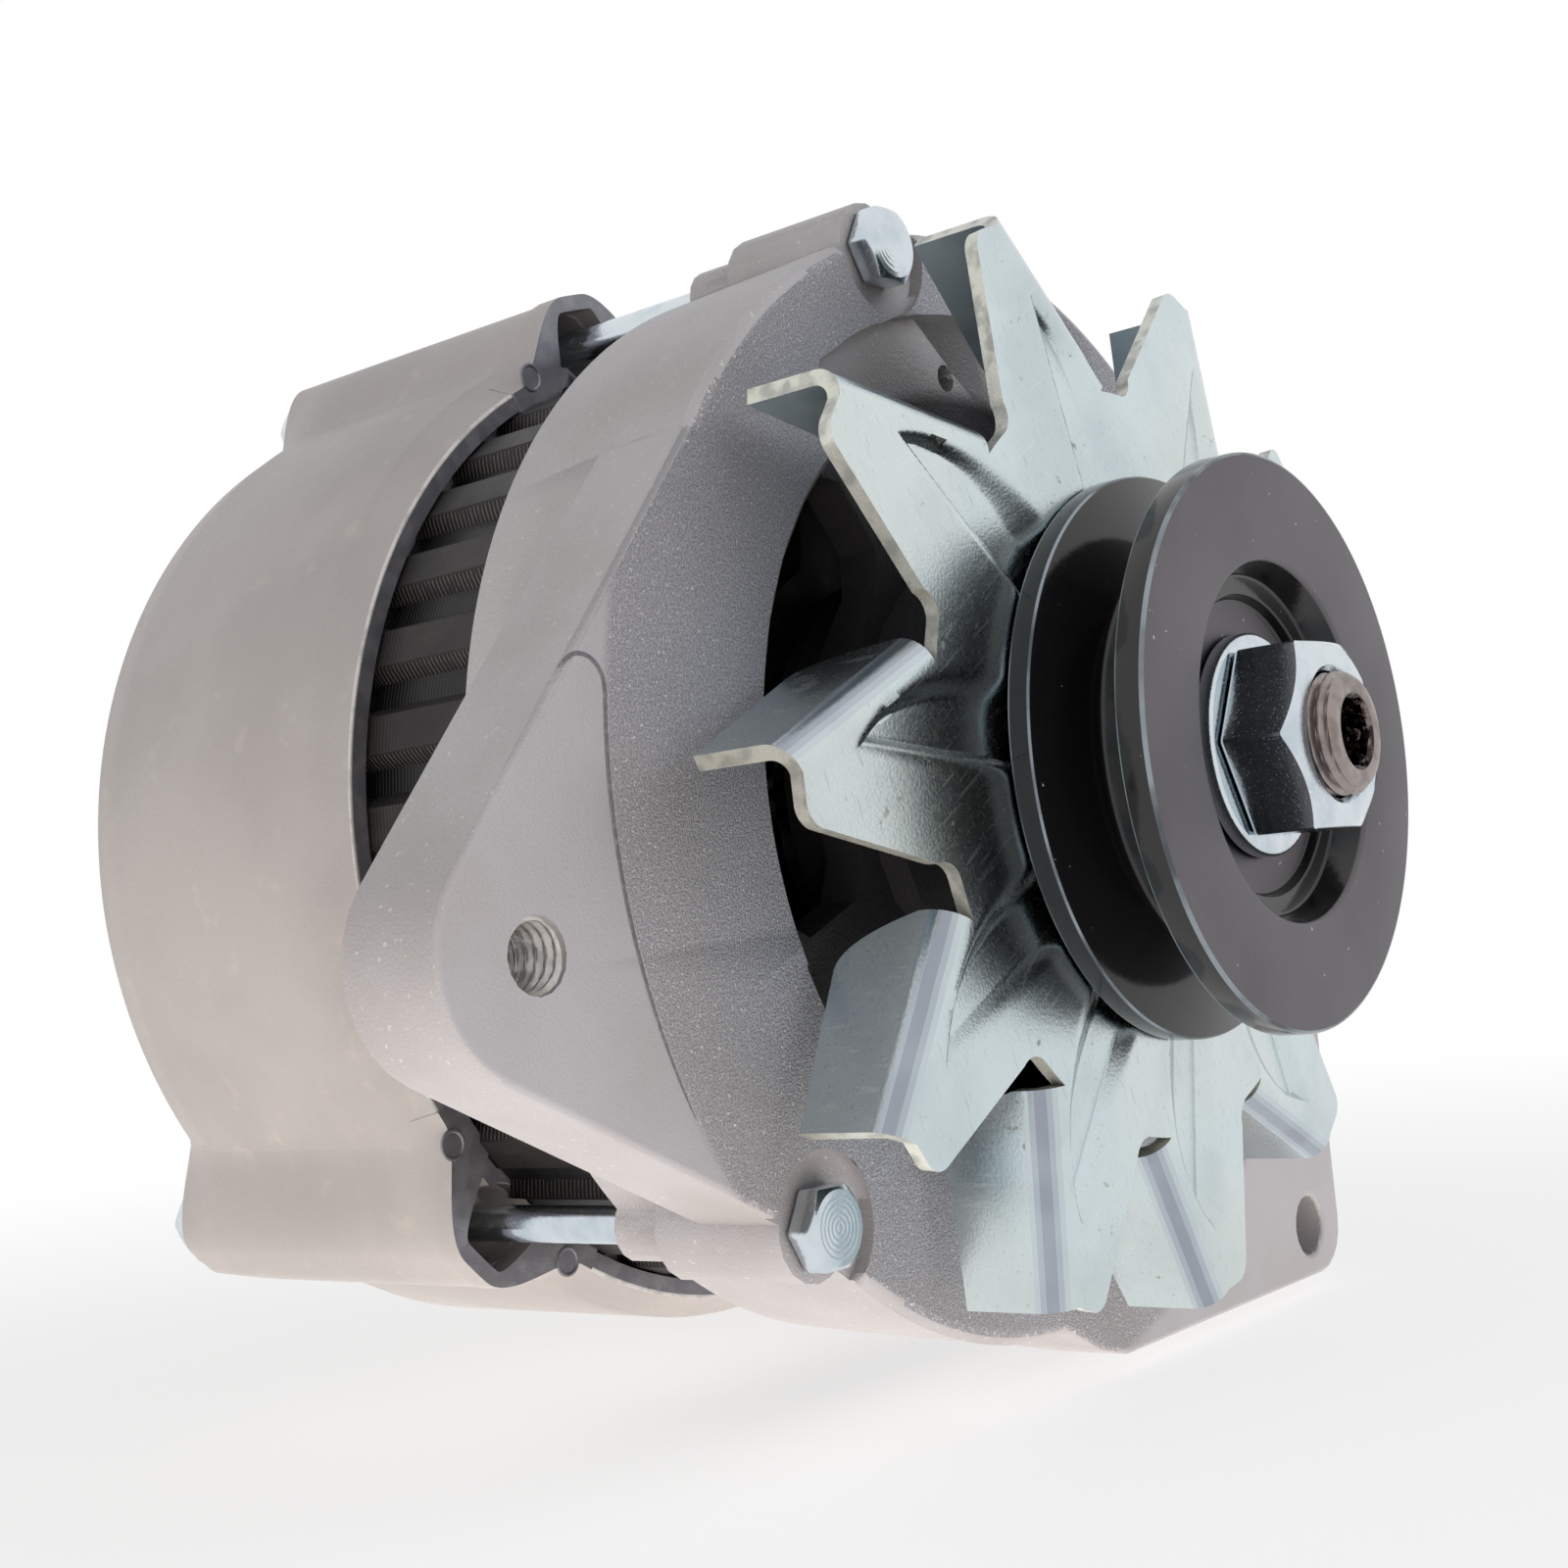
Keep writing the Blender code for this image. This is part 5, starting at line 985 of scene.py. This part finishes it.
@dataclass
class Nose:
    """Threaded shaft end with its socket, the nut and the washer."""

    thread_r: float = 8.0
    pitch: float = 1.5
    front_t: float = -9.6
    nut_af: float = 24.0
    nut_front_t: float = -7.0
    nut_rear_t: float = 3.0
    nut_face_r: float = 11.6
    washer_r: float = 14.8
    washer_t: float = 3.3
    washer_thick: float = 2.4
    socket_af: float = 8.0
    socket_depth: float = 7.0
    rear_steps: tuple[tuple[float, float], ...] = (
        (8.0, 6.0), (8.5, 6.3), (8.5, 58.3), (11.0, 58.3), (11.0, 65.7), (9.5, 65.7), (9.5, 106.0),
        (7.9, 106.8), (7.9, 148.7), (7.5, 148.7), (7.5, 160.2), (6.7, 161.0), (0.001, 161.0))

    def build(self) -> None:
        """Make the shaft, the nut and the washer."""
        self.build_shaft()
        self.build_nut()
        self.build_washer()

    def build_nut(self) -> None:
        """Hexagon nut whose front corners are turned to a cone and whose rear is lightly rounded."""
        angles = full_turn(360)
        outer = hexagon(angles, self.nut_af, 0.12)
        slope = 0.62
        front = self.nut_front_t
        rear = self.nut_rear_t
        edge = front + np.maximum(outer - self.nut_face_r, 0.0) * slope
        bore = self.thread_r + 0.3
        rows = [(bore, rear), (bore, front + 0.9), (bore + 0.7, front + 0.1), (bore + 0.9, front),
                (self.nut_face_r - 0.5, front), (self.nut_face_r, front + 0.04), (outer - 0.5, edge - 0.3),
                (outer - 0.12, edge - 0.02), (outer, edge + 0.3), (outer, rear - 0.5),
                (outer - 0.15, rear - 0.15), (outer - 0.5, rear)]
        shell = Shell("nose_nut", Body.ROTOR)
        shell.add(rings(rows, angles), around=True, along=True)
        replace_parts(shell.make([BOLT_ZINC], sharp=18.0), "pulley_nut")

    def build_washer(self) -> None:
        """Plain washer with rounded rims."""
        rear = self.washer_t + self.washer_thick
        corners = [(self.thread_r + 0.3, self.washer_t, 0.2, 0), (self.washer_r, self.washer_t, 0.7, 0),
                   (self.washer_r, rear, 0.4, 0), (self.thread_r + 0.3, rear, 0.2, 0)]
        profile, finishes = rounded(corners)
        shell = Shell("nose_washer", Body.ROTOR)
        shell.add(rings(profile.tolist(), full_turn(128)), finishes, around=True, along=True)
        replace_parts(shell.make([BOLT_ZINC]), "pulley_washer")

    def build_shaft(self) -> None:
        """Stepped shaft: r = thread radius - depth x triangle wave(t / pitch - a / turn) at its nose."""
        angles = full_turn(120)
        socket = hexagon(angles, self.socket_af + 0.7, 0.25)
        front = self.front_t
        floor = front + self.socket_depth
        mouth = np.maximum(socket, 5.0)
        inside = [(0.001, floor + 1.2), (socket * 0.5, floor + 0.5), (socket, floor - 0.4),
                  (socket, front + 0.7)]
        nose = [(mouth, front + 0.12), (mouth + 0.2, front), (6.4, front), (6.9, front + 0.1)]
        lines = np.arange(front + 0.35, 5.9, 0.1)
        ridge = np.clip(np.abs(2.0 * screw_wave(lines, angles, self.pitch) - 1.0) * 1.35 - 0.1, 0.0, 1.0)
        cone = 6.9 + (lines[:, None] - front) * 0.85
        radius = np.minimum(self.thread_r - 0.8 * (1.0 - ridge), cone)
        outside = [*nose, *zip(radius, lines), *self.rear_steps]
        # Inside the socket the steel is darker
        tones = np.array([2] * len(inside) + [0] * len(outside))
        shell = Shell("nose_shaft", Body.ROTOR)
        shell.add(rings(inside + outside, angles), tones, around=True)
        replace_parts(shell.make([STEEL, STEEL, DARK_SOCKET_STEEL], join=0.002), "rotor_shaft")


@dataclass
class StatorStack:
    """Stack of stampings with ribs outside, seen between the brackets."""

    outer_r: float = 70.5
    bore_r: float = 51.5
    front_t: float = 70.0
    length: float = 32.0
    ribs: int = 36
    rib_depth: float = 2.2
    rib_share: float = 0.45

    def build(self) -> None:
        """Outside radius by angle: flat ribs, sheared flanks and grooves between them, with painted shade at
        the groove floors.
        """
        pitch = 360.0 / self.ribs
        half = self.rib_share / 2.0
        knots = np.array([-half, -half + 0.015, half - 0.015, half, half + 0.05, half + 0.13, 0.5,
                          1.0 - half - 0.13, 1.0 - half - 0.05])
        fall = np.array([0.25, 0.0, 0.0, 0.25, 0.9, self.rib_depth, self.rib_depth, self.rib_depth, 0.9])
        # Finish 1 at the groove floors is painted shade
        tone = np.array([0, 0, 0, 2, 2, 1, 1, 2, 2])
        angles = ((np.arange(self.ribs)[:, None] + knots[None, :]) * pitch).reshape(-1)
        radius = np.tile(self.outer_r - fall, self.ribs)
        tones = np.tile(tone, self.ribs)
        depths = np.linspace(self.front_t, self.front_t + self.length, 12)
        ring = on_circle(radius, angles)
        inner = on_circle(self.bore_r, angles)
        outside = [at_depth(ring, t) for t in depths]
        outline = [at_depth(inner, depths[0]), *outside, at_depth(inner, depths[-1])]
        grid = np.stack(outline).transpose(1, 0, 2)
        shell = Shell("stator_stampings", Body.HOUSING)
        shell.add(np.concatenate([grid, grid[:1]]), tones, around=True)
        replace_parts(shell.make([STACK, STACK_GROOVE_SHADE, STACK_FLANK], sharp=20.0), "stator_core")


@dataclass
class Castings:
    """Both end brackets: refined CAD copies, made round again, with softened, rubbed and cut faces; the
    rubbed edges' brightness is partly a painted highlight.

    near_level is how close in t a face or edge has to be to an end face's level to count as on it.
    """

    facets: int = 36
    cuts: int = 5
    soft_edge: float = 0.9
    rim_edge: float = 0.38
    hole_room: float = 6.5
    bolt_room: float = 10.3
    seat_r: float = 9.5
    seat_rear_t: float = 44.3
    rim_r: float = 72.0
    front_t: float = 42.0
    rim_t: float = 98.6
    near_level: float = 0.2
    sharp_angle: float = 35.0
    shortest: float = 0.9
    front_wall: tuple[tuple[float, float], ...] = (
        (56.5, 42.0), (76.8, 42.0), (78.0, 43.2), (76.8, 73.0), (68.0, 73.0), (68.0, 52.5))
    rear_wall: tuple[tuple[float, float], ...] = (
        (68.5, 98.6), (73.4, 98.6), (75.0, 102.0), (76.5, 104.0), (76.5, 147.0), (75.36, 152.74),
        (72.11, 157.61), (67.24, 160.86), (61.5, 162.0))

    def build(self) -> None:
        """Copy, make round and dress both brackets."""
        self.dress(self.copy("drive_end_casting", "drive_end_bracket", CAST, np.array(self.front_wall)),
                   self.soft_edge, -1)
        # Rear rim edges are rounded in the rubbed finish, partly a painted highlight
        self.dress(self.copy("rear_casting", "slip_ring_end_bracket", CAST_SMOOTH, np.array(self.rear_wall)),
                   self.rim_edge, 2)

    def from_bolt(self, local: Array) -> tuple[Array, Array]:
        """Offset of each point from the nearest bolt's axis, and whether it is on that bolt's seat."""
        bolts = on_circle(ThroughBolts.circle_r, np.array(ThroughBolts.angles))
        away = local[:, None, [0, 2]] - bolts[None]
        nearest = np.linalg.norm(away, axis=2).argmin(axis=1)
        away = away[np.arange(len(local)), nearest]
        past = np.linalg.norm(away, axis=1) - self.seat_r
        return away, (past > -0.3) & (past < 0.1) & (local[:, 1] < self.seat_rear_t)

    def dress(self, piece: bpy.types.Object, width: float, edge_finish: int) -> None:
        """Give the end faces that a tool has cut their own finish, and round the outer edges.

        Args:
            piece: Bracket to dress.
            width: Width of the rounding in millimetres.
            edge_finish: Finish number of the rounding, or -1 for that of its neighbours.
        """
        mesh = piece.data
        depth = read(mesh.polygons, "center", 3)[:, 1] / MM - ORIGIN[1]
        facing = read(mesh.polygons, "normal", 3)[:, 1] < -0.9
        cut = facing & (np.abs(depth - self.rim_t) < self.near_level)
        front = facing & (np.abs(depth - self.front_t) < self.near_level)
        mesh.polygons.foreach_set("material_index", np.select([cut, front], [1, 3], 0).astype(np.int32))
        bm = bmesh.new()
        bm.from_mesh(mesh)
        weight = bm.edges.layers.float.new("bevel_weight_edge")
        for edge in bm.edges:
            middle = np.array((edge.verts[0].co + edge.verts[1].co) / 2.0) / MM - ORIGIN
            flat = middle[[0, 2]]
            near = np.linalg.norm(self.from_bolt(middle[None])[0]) < self.bolt_room
            hole = math.dist(flat, (EarDetails.hole_x, EarDetails.hole_z)) < self.hole_room
            sharp = edge.calc_face_angle(0.0) > math.radians(self.sharp_angle)
            long = edge.calc_length() > self.shortest * MM
            level = min(abs(middle[1] - self.front_t), abs(middle[1] - self.rim_t)) < self.near_level
            outer = np.hypot(*flat) > self.rim_r
            edge[weight] = float(sharp and long and level and outer and not near and not hole)
        bm.to_mesh(mesh)
        bm.free()
        soften(piece, width, 3, 30.0)
        bevel = piece.modifiers["soft_edges"]
        bevel.limit_method = 'WEIGHT'
        bevel.use_clamp_overlap = False
        bevel.material = edge_finish

    def copy(self, name: str, node: str, skin: Finish, wall: Array) -> bpy.types.Object:
        """Merged copy of a CAD node with its long facets cut into strips and made round.

        A point at r on a facet's chord belongs to the circle r cos(b) / cos(half a facet), where b is
        the angle from the facet's middle. It moves there when that circle lies on the turned wall.

        Only long level edges are cut: those of the turned walls, and those of the bolt seats, whose points
        then move onto the seat's circle.

        Args:
            name: Name of the piece.
            node: Name of the CAD node.
            skin: Finish of its cast faces.
            wall: Turned profile (radius, t) that points move onto.

        Returns:
            The piece.
        """
        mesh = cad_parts[node].data.copy()
        mesh.name = name
        bm = bmesh.new()
        bm.from_mesh(mesh)
        bmesh.ops.remove_doubles(bm, verts=bm.verts, dist=0.004 * MM)
        bmesh.ops.dissolve_limit(bm, angle_limit=math.radians(1.0), verts=bm.verts, edges=bm.edges)
        bm.to_mesh(mesh)
        local = read(mesh.vertices, "co", 3) / MM - ORIGIN
        first, second = local[read(mesh.edges, "vertices", 2, np.int32).T]
        level = np.abs(first[:, 1] - second[:, 1]) < 0.3
        length = np.linalg.norm(first - second, axis=1)
        radii = np.stack([np.hypot(end[:, 0], end[:, 2]) for end in (first, second)])
        turned = (length > 5.0) & (np.ptp(radii, axis=0) < 0.5) & (radii.min(axis=0) > 50.0)
        seat = (length > 1.2) & self.from_bolt(first)[1] & self.from_bolt(second)[1]
        picked = np.flatnonzero(level & (seat | turned))
        bm.edges.ensure_lookup_table()
        bmesh.ops.subdivide_edges(bm, edges=[bm.edges[i] for i in picked.tolist()], cuts=self.cuts,
                                  use_grid_fill=True)
        bm.to_mesh(mesh)
        bm.free()
        local = read(mesh.vertices, "co", 3) / MM - ORIGIN
        radius = np.hypot(local[:, 0], local[:, 2])
        half = math.pi / self.facets
        off = (np.arctan2(local[:, 0], local[:, 2]) % (2.0 * half)) - half
        circle = radius * np.cos(off) / math.cos(half)
        here = np.stack([circle, local[:, 1]], axis=-1)[:, None, :]
        start, run = wall[:-1], np.diff(wall, axis=0)
        share = np.clip(((here - start) * run).sum(axis=2) / (run ** 2).sum(axis=1), 0.0, 1.0)
        distance = np.linalg.norm(start + share[..., None] * run - here, axis=2).min(axis=1)
        scale = np.where(distance < 0.04, circle / np.maximum(radius, 1e-6), 1.0)
        away, seat = self.from_bolt(local)
        stretch = np.where(seat, self.seat_r / np.maximum(np.linalg.norm(away, axis=1), 1e-6) - 1.0, 0.0)
        local[:, [0, 2]] = np.where(seat[:, None], local[:, [0, 2]] + away * stretch[:, None],
                                    local[:, [0, 2]] * scale[:, None])
        mesh.vertices.foreach_set("co", ((local + ORIGIN) * MM).reshape(-1))
        mesh.update()
        piece = finish_piece(name, mesh, [skin, CUT_CAST, RUBBED_HIGHLIGHT_CAST, CAST_FRONT], Body.HOUSING, 30.0)
        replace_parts(piece, node)
        return piece


@dataclass
class EarDetails:
    """Thread in the adjusting ear's hole and the low cast line across the ear's face, dark as a painted
    shadow of a step.
    """

    hole_x: float = -97.5
    hole_z: float = -18.8
    hole_r: float = 4.4
    front_t: float = 42.0
    thick: float = 14.5
    pitch: float = 1.5
    line_r: float = 84.2
    line_from: float = -83.4
    line_to: float = -118.0
    line_half: float = 0.34
    line_rise: float = 0.16
    hook: tuple[float, float] = (-87.3, 10.4)
    hook_r: float = 3.6
    tail: float = 1.6

    def build(self) -> None:
        """Make the thread and the line."""
        self.build_thread()
        self.build_line()

    def build_thread(self) -> None:
        """Sleeve whose bore is r = hole radius - depth x triangle wave(t / pitch - a / turn)."""
        angles = full_turn(64)
        lines = np.arange(self.front_t + 0.6, self.front_t + self.thick - 0.6, 0.15)
        wave = screw_wave(lines, angles, self.pitch)
        radius = self.hole_r + 0.02 - 0.62 * np.clip(1.25 - 2.5 * np.abs(wave - 0.5), 0.0, 1.0)
        outer = self.hole_r + 0.25
        rows = [(outer, lines[0]), *zip(radius, lines), (outer, lines[-1])]
        shell = Shell("ear_thread", Body.HOUSING)
        shell.add(rings(rows, angles, (self.hole_x, self.hole_z)), around=True, along=True)
        # Bright rubbed finish, partly a painted highlight on the thread
        shell.make([RUBBED_HIGHLIGHT_CAST])

    def build_line(self) -> None:
        """Low half-round ridge, dark as a painted step shadow: an arc round the shaft, a third of a turn at
        its top, a straight tail.
        """
        arc = on_circle(self.line_r, np.linspace(self.line_to, self.line_from, 60))
        hook = np.array(self.hook) + on_circle(self.hook_r, np.linspace(88.0, -38.0, 24))
        along = hook[-1] - hook[-2]
        tail = hook[-1] + along / np.linalg.norm(along) * np.linspace(0.4, self.tail, 12)[:, None]
        path = np.concatenate([arc, hook, tail])
        run = np.gradient(path, axis=0)
        side = np.stack([-run[:, 1], run[:, 0]], axis=-1) / np.linalg.norm(run, axis=1, keepdims=True)
        share = np.linspace(0.0, 1.0, len(path))
        size = np.sin(math.pi * share) ** 0.35
        turn = full_turn(12)
        across = self.line_half * (size[:, None] * np.cos(turn))[..., None]
        flat = path[:, None, :] + across * side[:, None, :]
        depth = self.front_t + 0.03 - self.line_rise * size[:, None] * np.sin(turn)
        shell = Shell("ear_cast_line", Body.HOUSING)
        shell.add(capped(at_depth(flat, depth)), around=True)
        # Dark finish: painted shadow of the ear's step
        shell.make([STEP_SHADOW_PAINT])


@dataclass
class RingLand:
    """Flush land of the ring beside the lower left bolt, over the shallow spoke recess."""

    sweep_from: float = -161.0
    sweep_to: float = -111.5
    inner_r: float = 56.4
    outer_r: float = 67.6
    front_t: float = 41.96
    thick: float = 1.2
    bolt_angle: float = -136.0
    seat_room: float = 9.6

    def build(self) -> None:
        """Closed loop carried round the shaft, with its ends capped and its outer side clear of the bolt.

        The bolt's circle is met at r = R cos(a) - sqrt(room^2 - R^2 sin(a)^2), a from the bolt's angle.
        """
        angles = np.linspace(self.sweep_from, self.sweep_to, 120)
        rear = self.front_t + self.thick
        turn = np.radians(angles - self.bolt_angle)
        left = self.seat_room ** 2 - (ThroughBolts.circle_r * np.sin(turn)) ** 2
        meet = ThroughBolts.circle_r * np.cos(turn) - np.sqrt(np.maximum(left, 0.0))
        outer = np.where(left > 0.0, np.minimum(self.outer_r, meet), self.outer_r)
        inner = np.full(len(angles), self.inner_r)
        radius = np.stack([inner, inner, inner + 0.5, outer, outer])
        level = np.array([rear, self.front_t + 0.5, self.front_t, self.front_t, rear])
        grid = at_depth(on_circle(radius, angles[None, :]), level[:, None])
        shell = Shell("ring_land", Body.HOUSING)
        shell.add(capped(grid.transpose(1, 0, 2)), around=True)
        shell.make([CAST_FRONT])


@dataclass
class BellHoods:
    """Smooth hoods over the bell's bolt tubes, with their machined front pads and pin marks.

    rim_slope has the (t, radius) of the bell's sloped rim. A hood is at its full height up to top_sweep
    from its bolt and down on the bell at foot_sweep; its scallop does the same between its own two.
    """

    rim_slope: tuple[tuple[float, float], ...] = ((98.6, 73.4), (102.0, 75.0), (104.0, 76.5))
    top_r: float = 83.8
    front_t: float = 98.5
    rear_t: float = 159.4
    shoulder_t: float = 147.0
    shoulder_r: float = 15.0
    half_sweep: float = 14.5
    top_sweep: float = 1.6
    foot_sweep: float = 13.0
    scallop_top_sweep: float = 2.3
    scallop_foot_sweep: float = 7.0
    front_lip_t: float = 103.0
    front_lip: float = 0.35
    sunk: float = 0.25
    floor_r: float = 82.2
    least_wall: float = 0.6
    scallop_t: float = 107.0
    scallop_r: float = 81.6
    pad_r: float = 69.6
    mark_sweep: float = 10.6
    mark_r: float = 2.1
    mark_from_shaft: float = 74.2

    def build(self) -> None:
        """Make a hood and two pin marks at each bolt."""
        for number, angle in enumerate(ThroughBolts.angles, start=1):
            self.build_hood(number, angle)

    def base(self, depth: Array) -> Array:
        """Bell radius at a depth: sloped rim, straight, then a quarter circle down to the end wall."""
        rim = np.interp(depth, *np.array(self.rim_slope).T)
        past = np.clip((depth - self.shoulder_t) / self.shoulder_r, 0.0, 1.0)
        return rim - self.shoulder_r * (1.0 - np.sqrt(1.0 - past ** 2))

    def build_hood(self, number: int, angle: float) -> None:
        """Hood: r = bell + rise x fade(angle from the bolt), closed by a scalloped inner side.

        Args:
            number: Number of the bolt.
            angle: Clockwise angle of the bolt.
        """
        sweep = np.linspace(-self.half_sweep, self.half_sweep, 71)
        near = 1.0 - smooth_step(self.top_sweep, self.foot_sweep, np.abs(sweep))
        close = 1.0 - smooth_step(self.scallop_top_sweep, self.scallop_foot_sweep, np.abs(sweep))
        depth = np.concatenate([[self.front_t], np.linspace(self.front_t + 0.5, self.scallop_t, 6),
                                np.linspace(self.scallop_t + 0.1, self.rear_t, 24)])
        base = self.base(depth)[:, None]
        lip = self.front_lip * (depth < self.front_lip_t)[:, None]
        outer = base - self.sunk + (self.top_r - base) * near[None, :] + lip
        deep = self.pad_r + (self.scallop_r - self.pad_r) * close[None, :]
        shallow = base - 2.0 + (self.floor_r - base) * close[None, :]
        shallow = np.minimum(shallow, outer - self.least_wall)
        inner = np.where((depth <= self.scallop_t)[:, None], deep, shallow)
        loop = np.concatenate([outer, inner[:, ::-1]], axis=1)
        angles = np.concatenate([sweep, sweep[::-1]]) + angle
        grid = at_depth(on_circle(loop, angles[None, :]), depth[:, None])
        shell = Shell(f"bell_hood_{number}", Body.HOUSING)
        shell.add(grid, around=True)
        for row, finish in ((0, 1), (-1, 0)):
            shell.add(np.stack([grid[row, :len(sweep)], grid[row, :len(sweep) - 1:-1]]), finish)
        hood = shell.make([CAST_SMOOTH, CUT_CAST, RUBBED_HIGHLIGHT_CAST], sharp=40.0)
        soften(hood, 0.3, 2, 60.0)
        # Rounded hood edges take the rubbed finish, partly a painted highlight
        hood.modifiers["soft_edges"].material = 2
        for side, turn in (("a", self.mark_sweep), ("b", -self.mark_sweep)):
            self.build_mark(f"pin_mark_{number}_{side}", angle + turn)

    def build_mark(self, name: str, angle: float) -> None:
        """Low round mark of an ejector pin: rings round its own centre."""
        rim, front = self.mark_r, self.front_t
        rows = [(0.001, front - 0.02), (rim - 0.5, front - 0.02), (rim - 0.3, front - 0.22),
                (rim, front - 0.2), (rim + 0.1, front + 0.1), (0.001, front + 0.1)]
        shell = Shell(name, Body.HOUSING)
        shell.add(rings(rows, full_turn(32), on_circle(self.mark_from_shaft, angle)), around=True)
        shell.make([CUT_CAST])


@dataclass
class ThroughBolts:
    """Three long bolts with turned hexagon heads, and their nuts."""

    angles: tuple[float, ...] = (-16.0, -136.0, 104.0)
    circle_r: float = 76.0
    rod_r: float = 2.5
    pitch: float = 1.0
    head_af: float = 10.0
    head_front_t: float = 40.0
    head_rear_t: float = 43.7
    nut_front_t: float = 160.3
    nut_rear_t: float = 165.3
    end_t: float = 167.5
    trim: float = 0.08
    columns: int = 120

    def build(self) -> None:
        """Make each bolt and nut."""
        for number, angle in enumerate(self.angles, start=1):
            centre = on_circle(self.circle_r, angle)
            self.build_bolt(number, centre)
            self.build_nut(number, centre)

    def build_bolt(self, number: int, centre: Array) -> None:
        """Bolt: a shallow dished head with a coned rim, and a rod with a thread at its end."""
        angles = full_turn(self.columns)
        outer = hexagon(angles, self.head_af, self.trim)
        front = self.head_front_t
        rear = self.head_rear_t
        edge = front + 0.12 + np.maximum(outer - self.head_af / 2.0 + 0.2, 0.0) * 0.6
        rod = self.rod_r
        turned = enumerate(np.linspace(0.4, self.head_af * 0.42, 22))
        rows = [(0.001, front)] + [(r, front + 0.02 * math.sin(i * math.pi / 2.0)) for i, r in turned]
        rows += [(self.head_af * 0.46, front + 0.05), (outer - 0.25, edge - 0.12),
                 (outer - 0.06, edge + 0.02), (outer, edge + 0.2), (outer, rear - 0.3), (outer - 0.2, rear),
                 (rod, rear)]
        lines = np.arange(self.nut_front_t - 8.0, self.end_t - 0.5, 0.2)
        thread = rod + 0.28 - 0.4 * np.abs(2.0 * screw_wave(lines, angles, self.pitch) - 1.0)
        rows += [(rod, lines[0] - 0.6), *zip(thread, lines), (rod - 0.4, self.end_t), (0.001, self.end_t)]
        shell = Shell(f"clamp_bolt_{number}", Body.HOUSING)
        shell.add(rings(rows, angles, centre), around=True)
        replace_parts(shell.make([BOLT_ZINC], sharp=20.0, join=0.002), f"through_bolt_{number}")

    def build_nut(self, number: int, centre: Array) -> None:
        """Nut with both faces coned at the corners."""
        angles = full_turn(self.columns)
        outer = hexagon(angles, self.head_af, self.trim)
        front, rear = self.nut_front_t, self.nut_rear_t
        cone = np.maximum(outer - self.head_af / 2.0 + 0.1, 0.0) * 0.6
        bore = self.rod_r + 0.3
        rows = [(bore, front), (outer - 0.3, front), (outer, front + cone + 0.2),
                (outer, rear - cone - 0.2), (outer - 0.3, rear - cone), (self.head_af * 0.46, rear),
                (bore + 0.4, rear), (bore, rear - 0.4)]
        shell = Shell(f"clamp_nut_{number}", Body.HOUSING)
        shell.add(rings(rows, angles, centre), around=True, along=True)
        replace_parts(shell.make([BOLT_ZINC], sharp=30.0), f"bolt_nut_{number}")


def numbered(name: str, count: int) -> tuple[str, ...]:
    """Names that end in _1, _2 and so on."""
    return tuple(f"{name}_{i}" for i in range(1, count + 1))


DRESSED = {
    CAST: ("drive_end_bracket", "slip_ring_end_bracket"),
    BOLT_ZINC: (*numbered("through_bolt", 3), *numbered("bolt_nut", 3), "pulley_washer", "pulley_nut",
                *numbered("retainer_screw", 3), *numbered("rectifier_screw", 2), "output_stud",
                "terminal_nut", "bearing_retainer", *numbered("brush_spring", 2)),
    SHEET_ZINC: ("cooling_fan",),
    PULLEY_BLACK: ("pulley",),
    STEEL: ("rotor_shaft", "shaft_key", "spacer_collar", "front_bearing_outer_race",
            "front_bearing_inner_race", "front_bearing_balls", "rear_bearing_outer_race",
            "rear_bearing_inner_race", "rear_bearing_balls", *numbered("diode", 6)),
    STACK: ("stator_core", "front_claw_pole", "rear_claw_pole", "rotor_core"),
    CUT_CAST: ("rectifier_plate_output", "rectifier_plate_earth"),
    ENAMEL: ("stator_winding", "field_coil"),
    COPPER: ("slip_ring_1", "slip_ring_2"),
    PLASTIC: ("coil_bobbin", "slip_ring_sleeve", *numbered("rectifier_spacer", 2), "terminal_insulator",
              "voltage_regulator", "brush_holder"),
    CARBON: ("brush_1", "brush_2"),
}


def dress_nodes() -> None:
    """Give every CAD node its finish."""
    for finish, names in DRESSED.items():
        for name in names:
            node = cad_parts[name]
            for slot in node.material_slots:
                slot.link = 'OBJECT'
                slot.material = finish.material()
        LOG.info("dressed %d nodes with %s", len(names), finish.name)


def main() -> None:
    """Build the looks of the whole machine and the studio round it."""
    logging.basicConfig(level=logging.INFO, format="%(message)s")
    dress_nodes()
    for part in (Studio(), Fan(), Pulley(), Nose(), StatorStack(), Castings(), EarDetails(), RingLand(),
                 BellHoods(), ThroughBolts()):
        part.build()
        LOG.info("built %s", type(part).__name__)


if __name__ == "__main__":
    main()
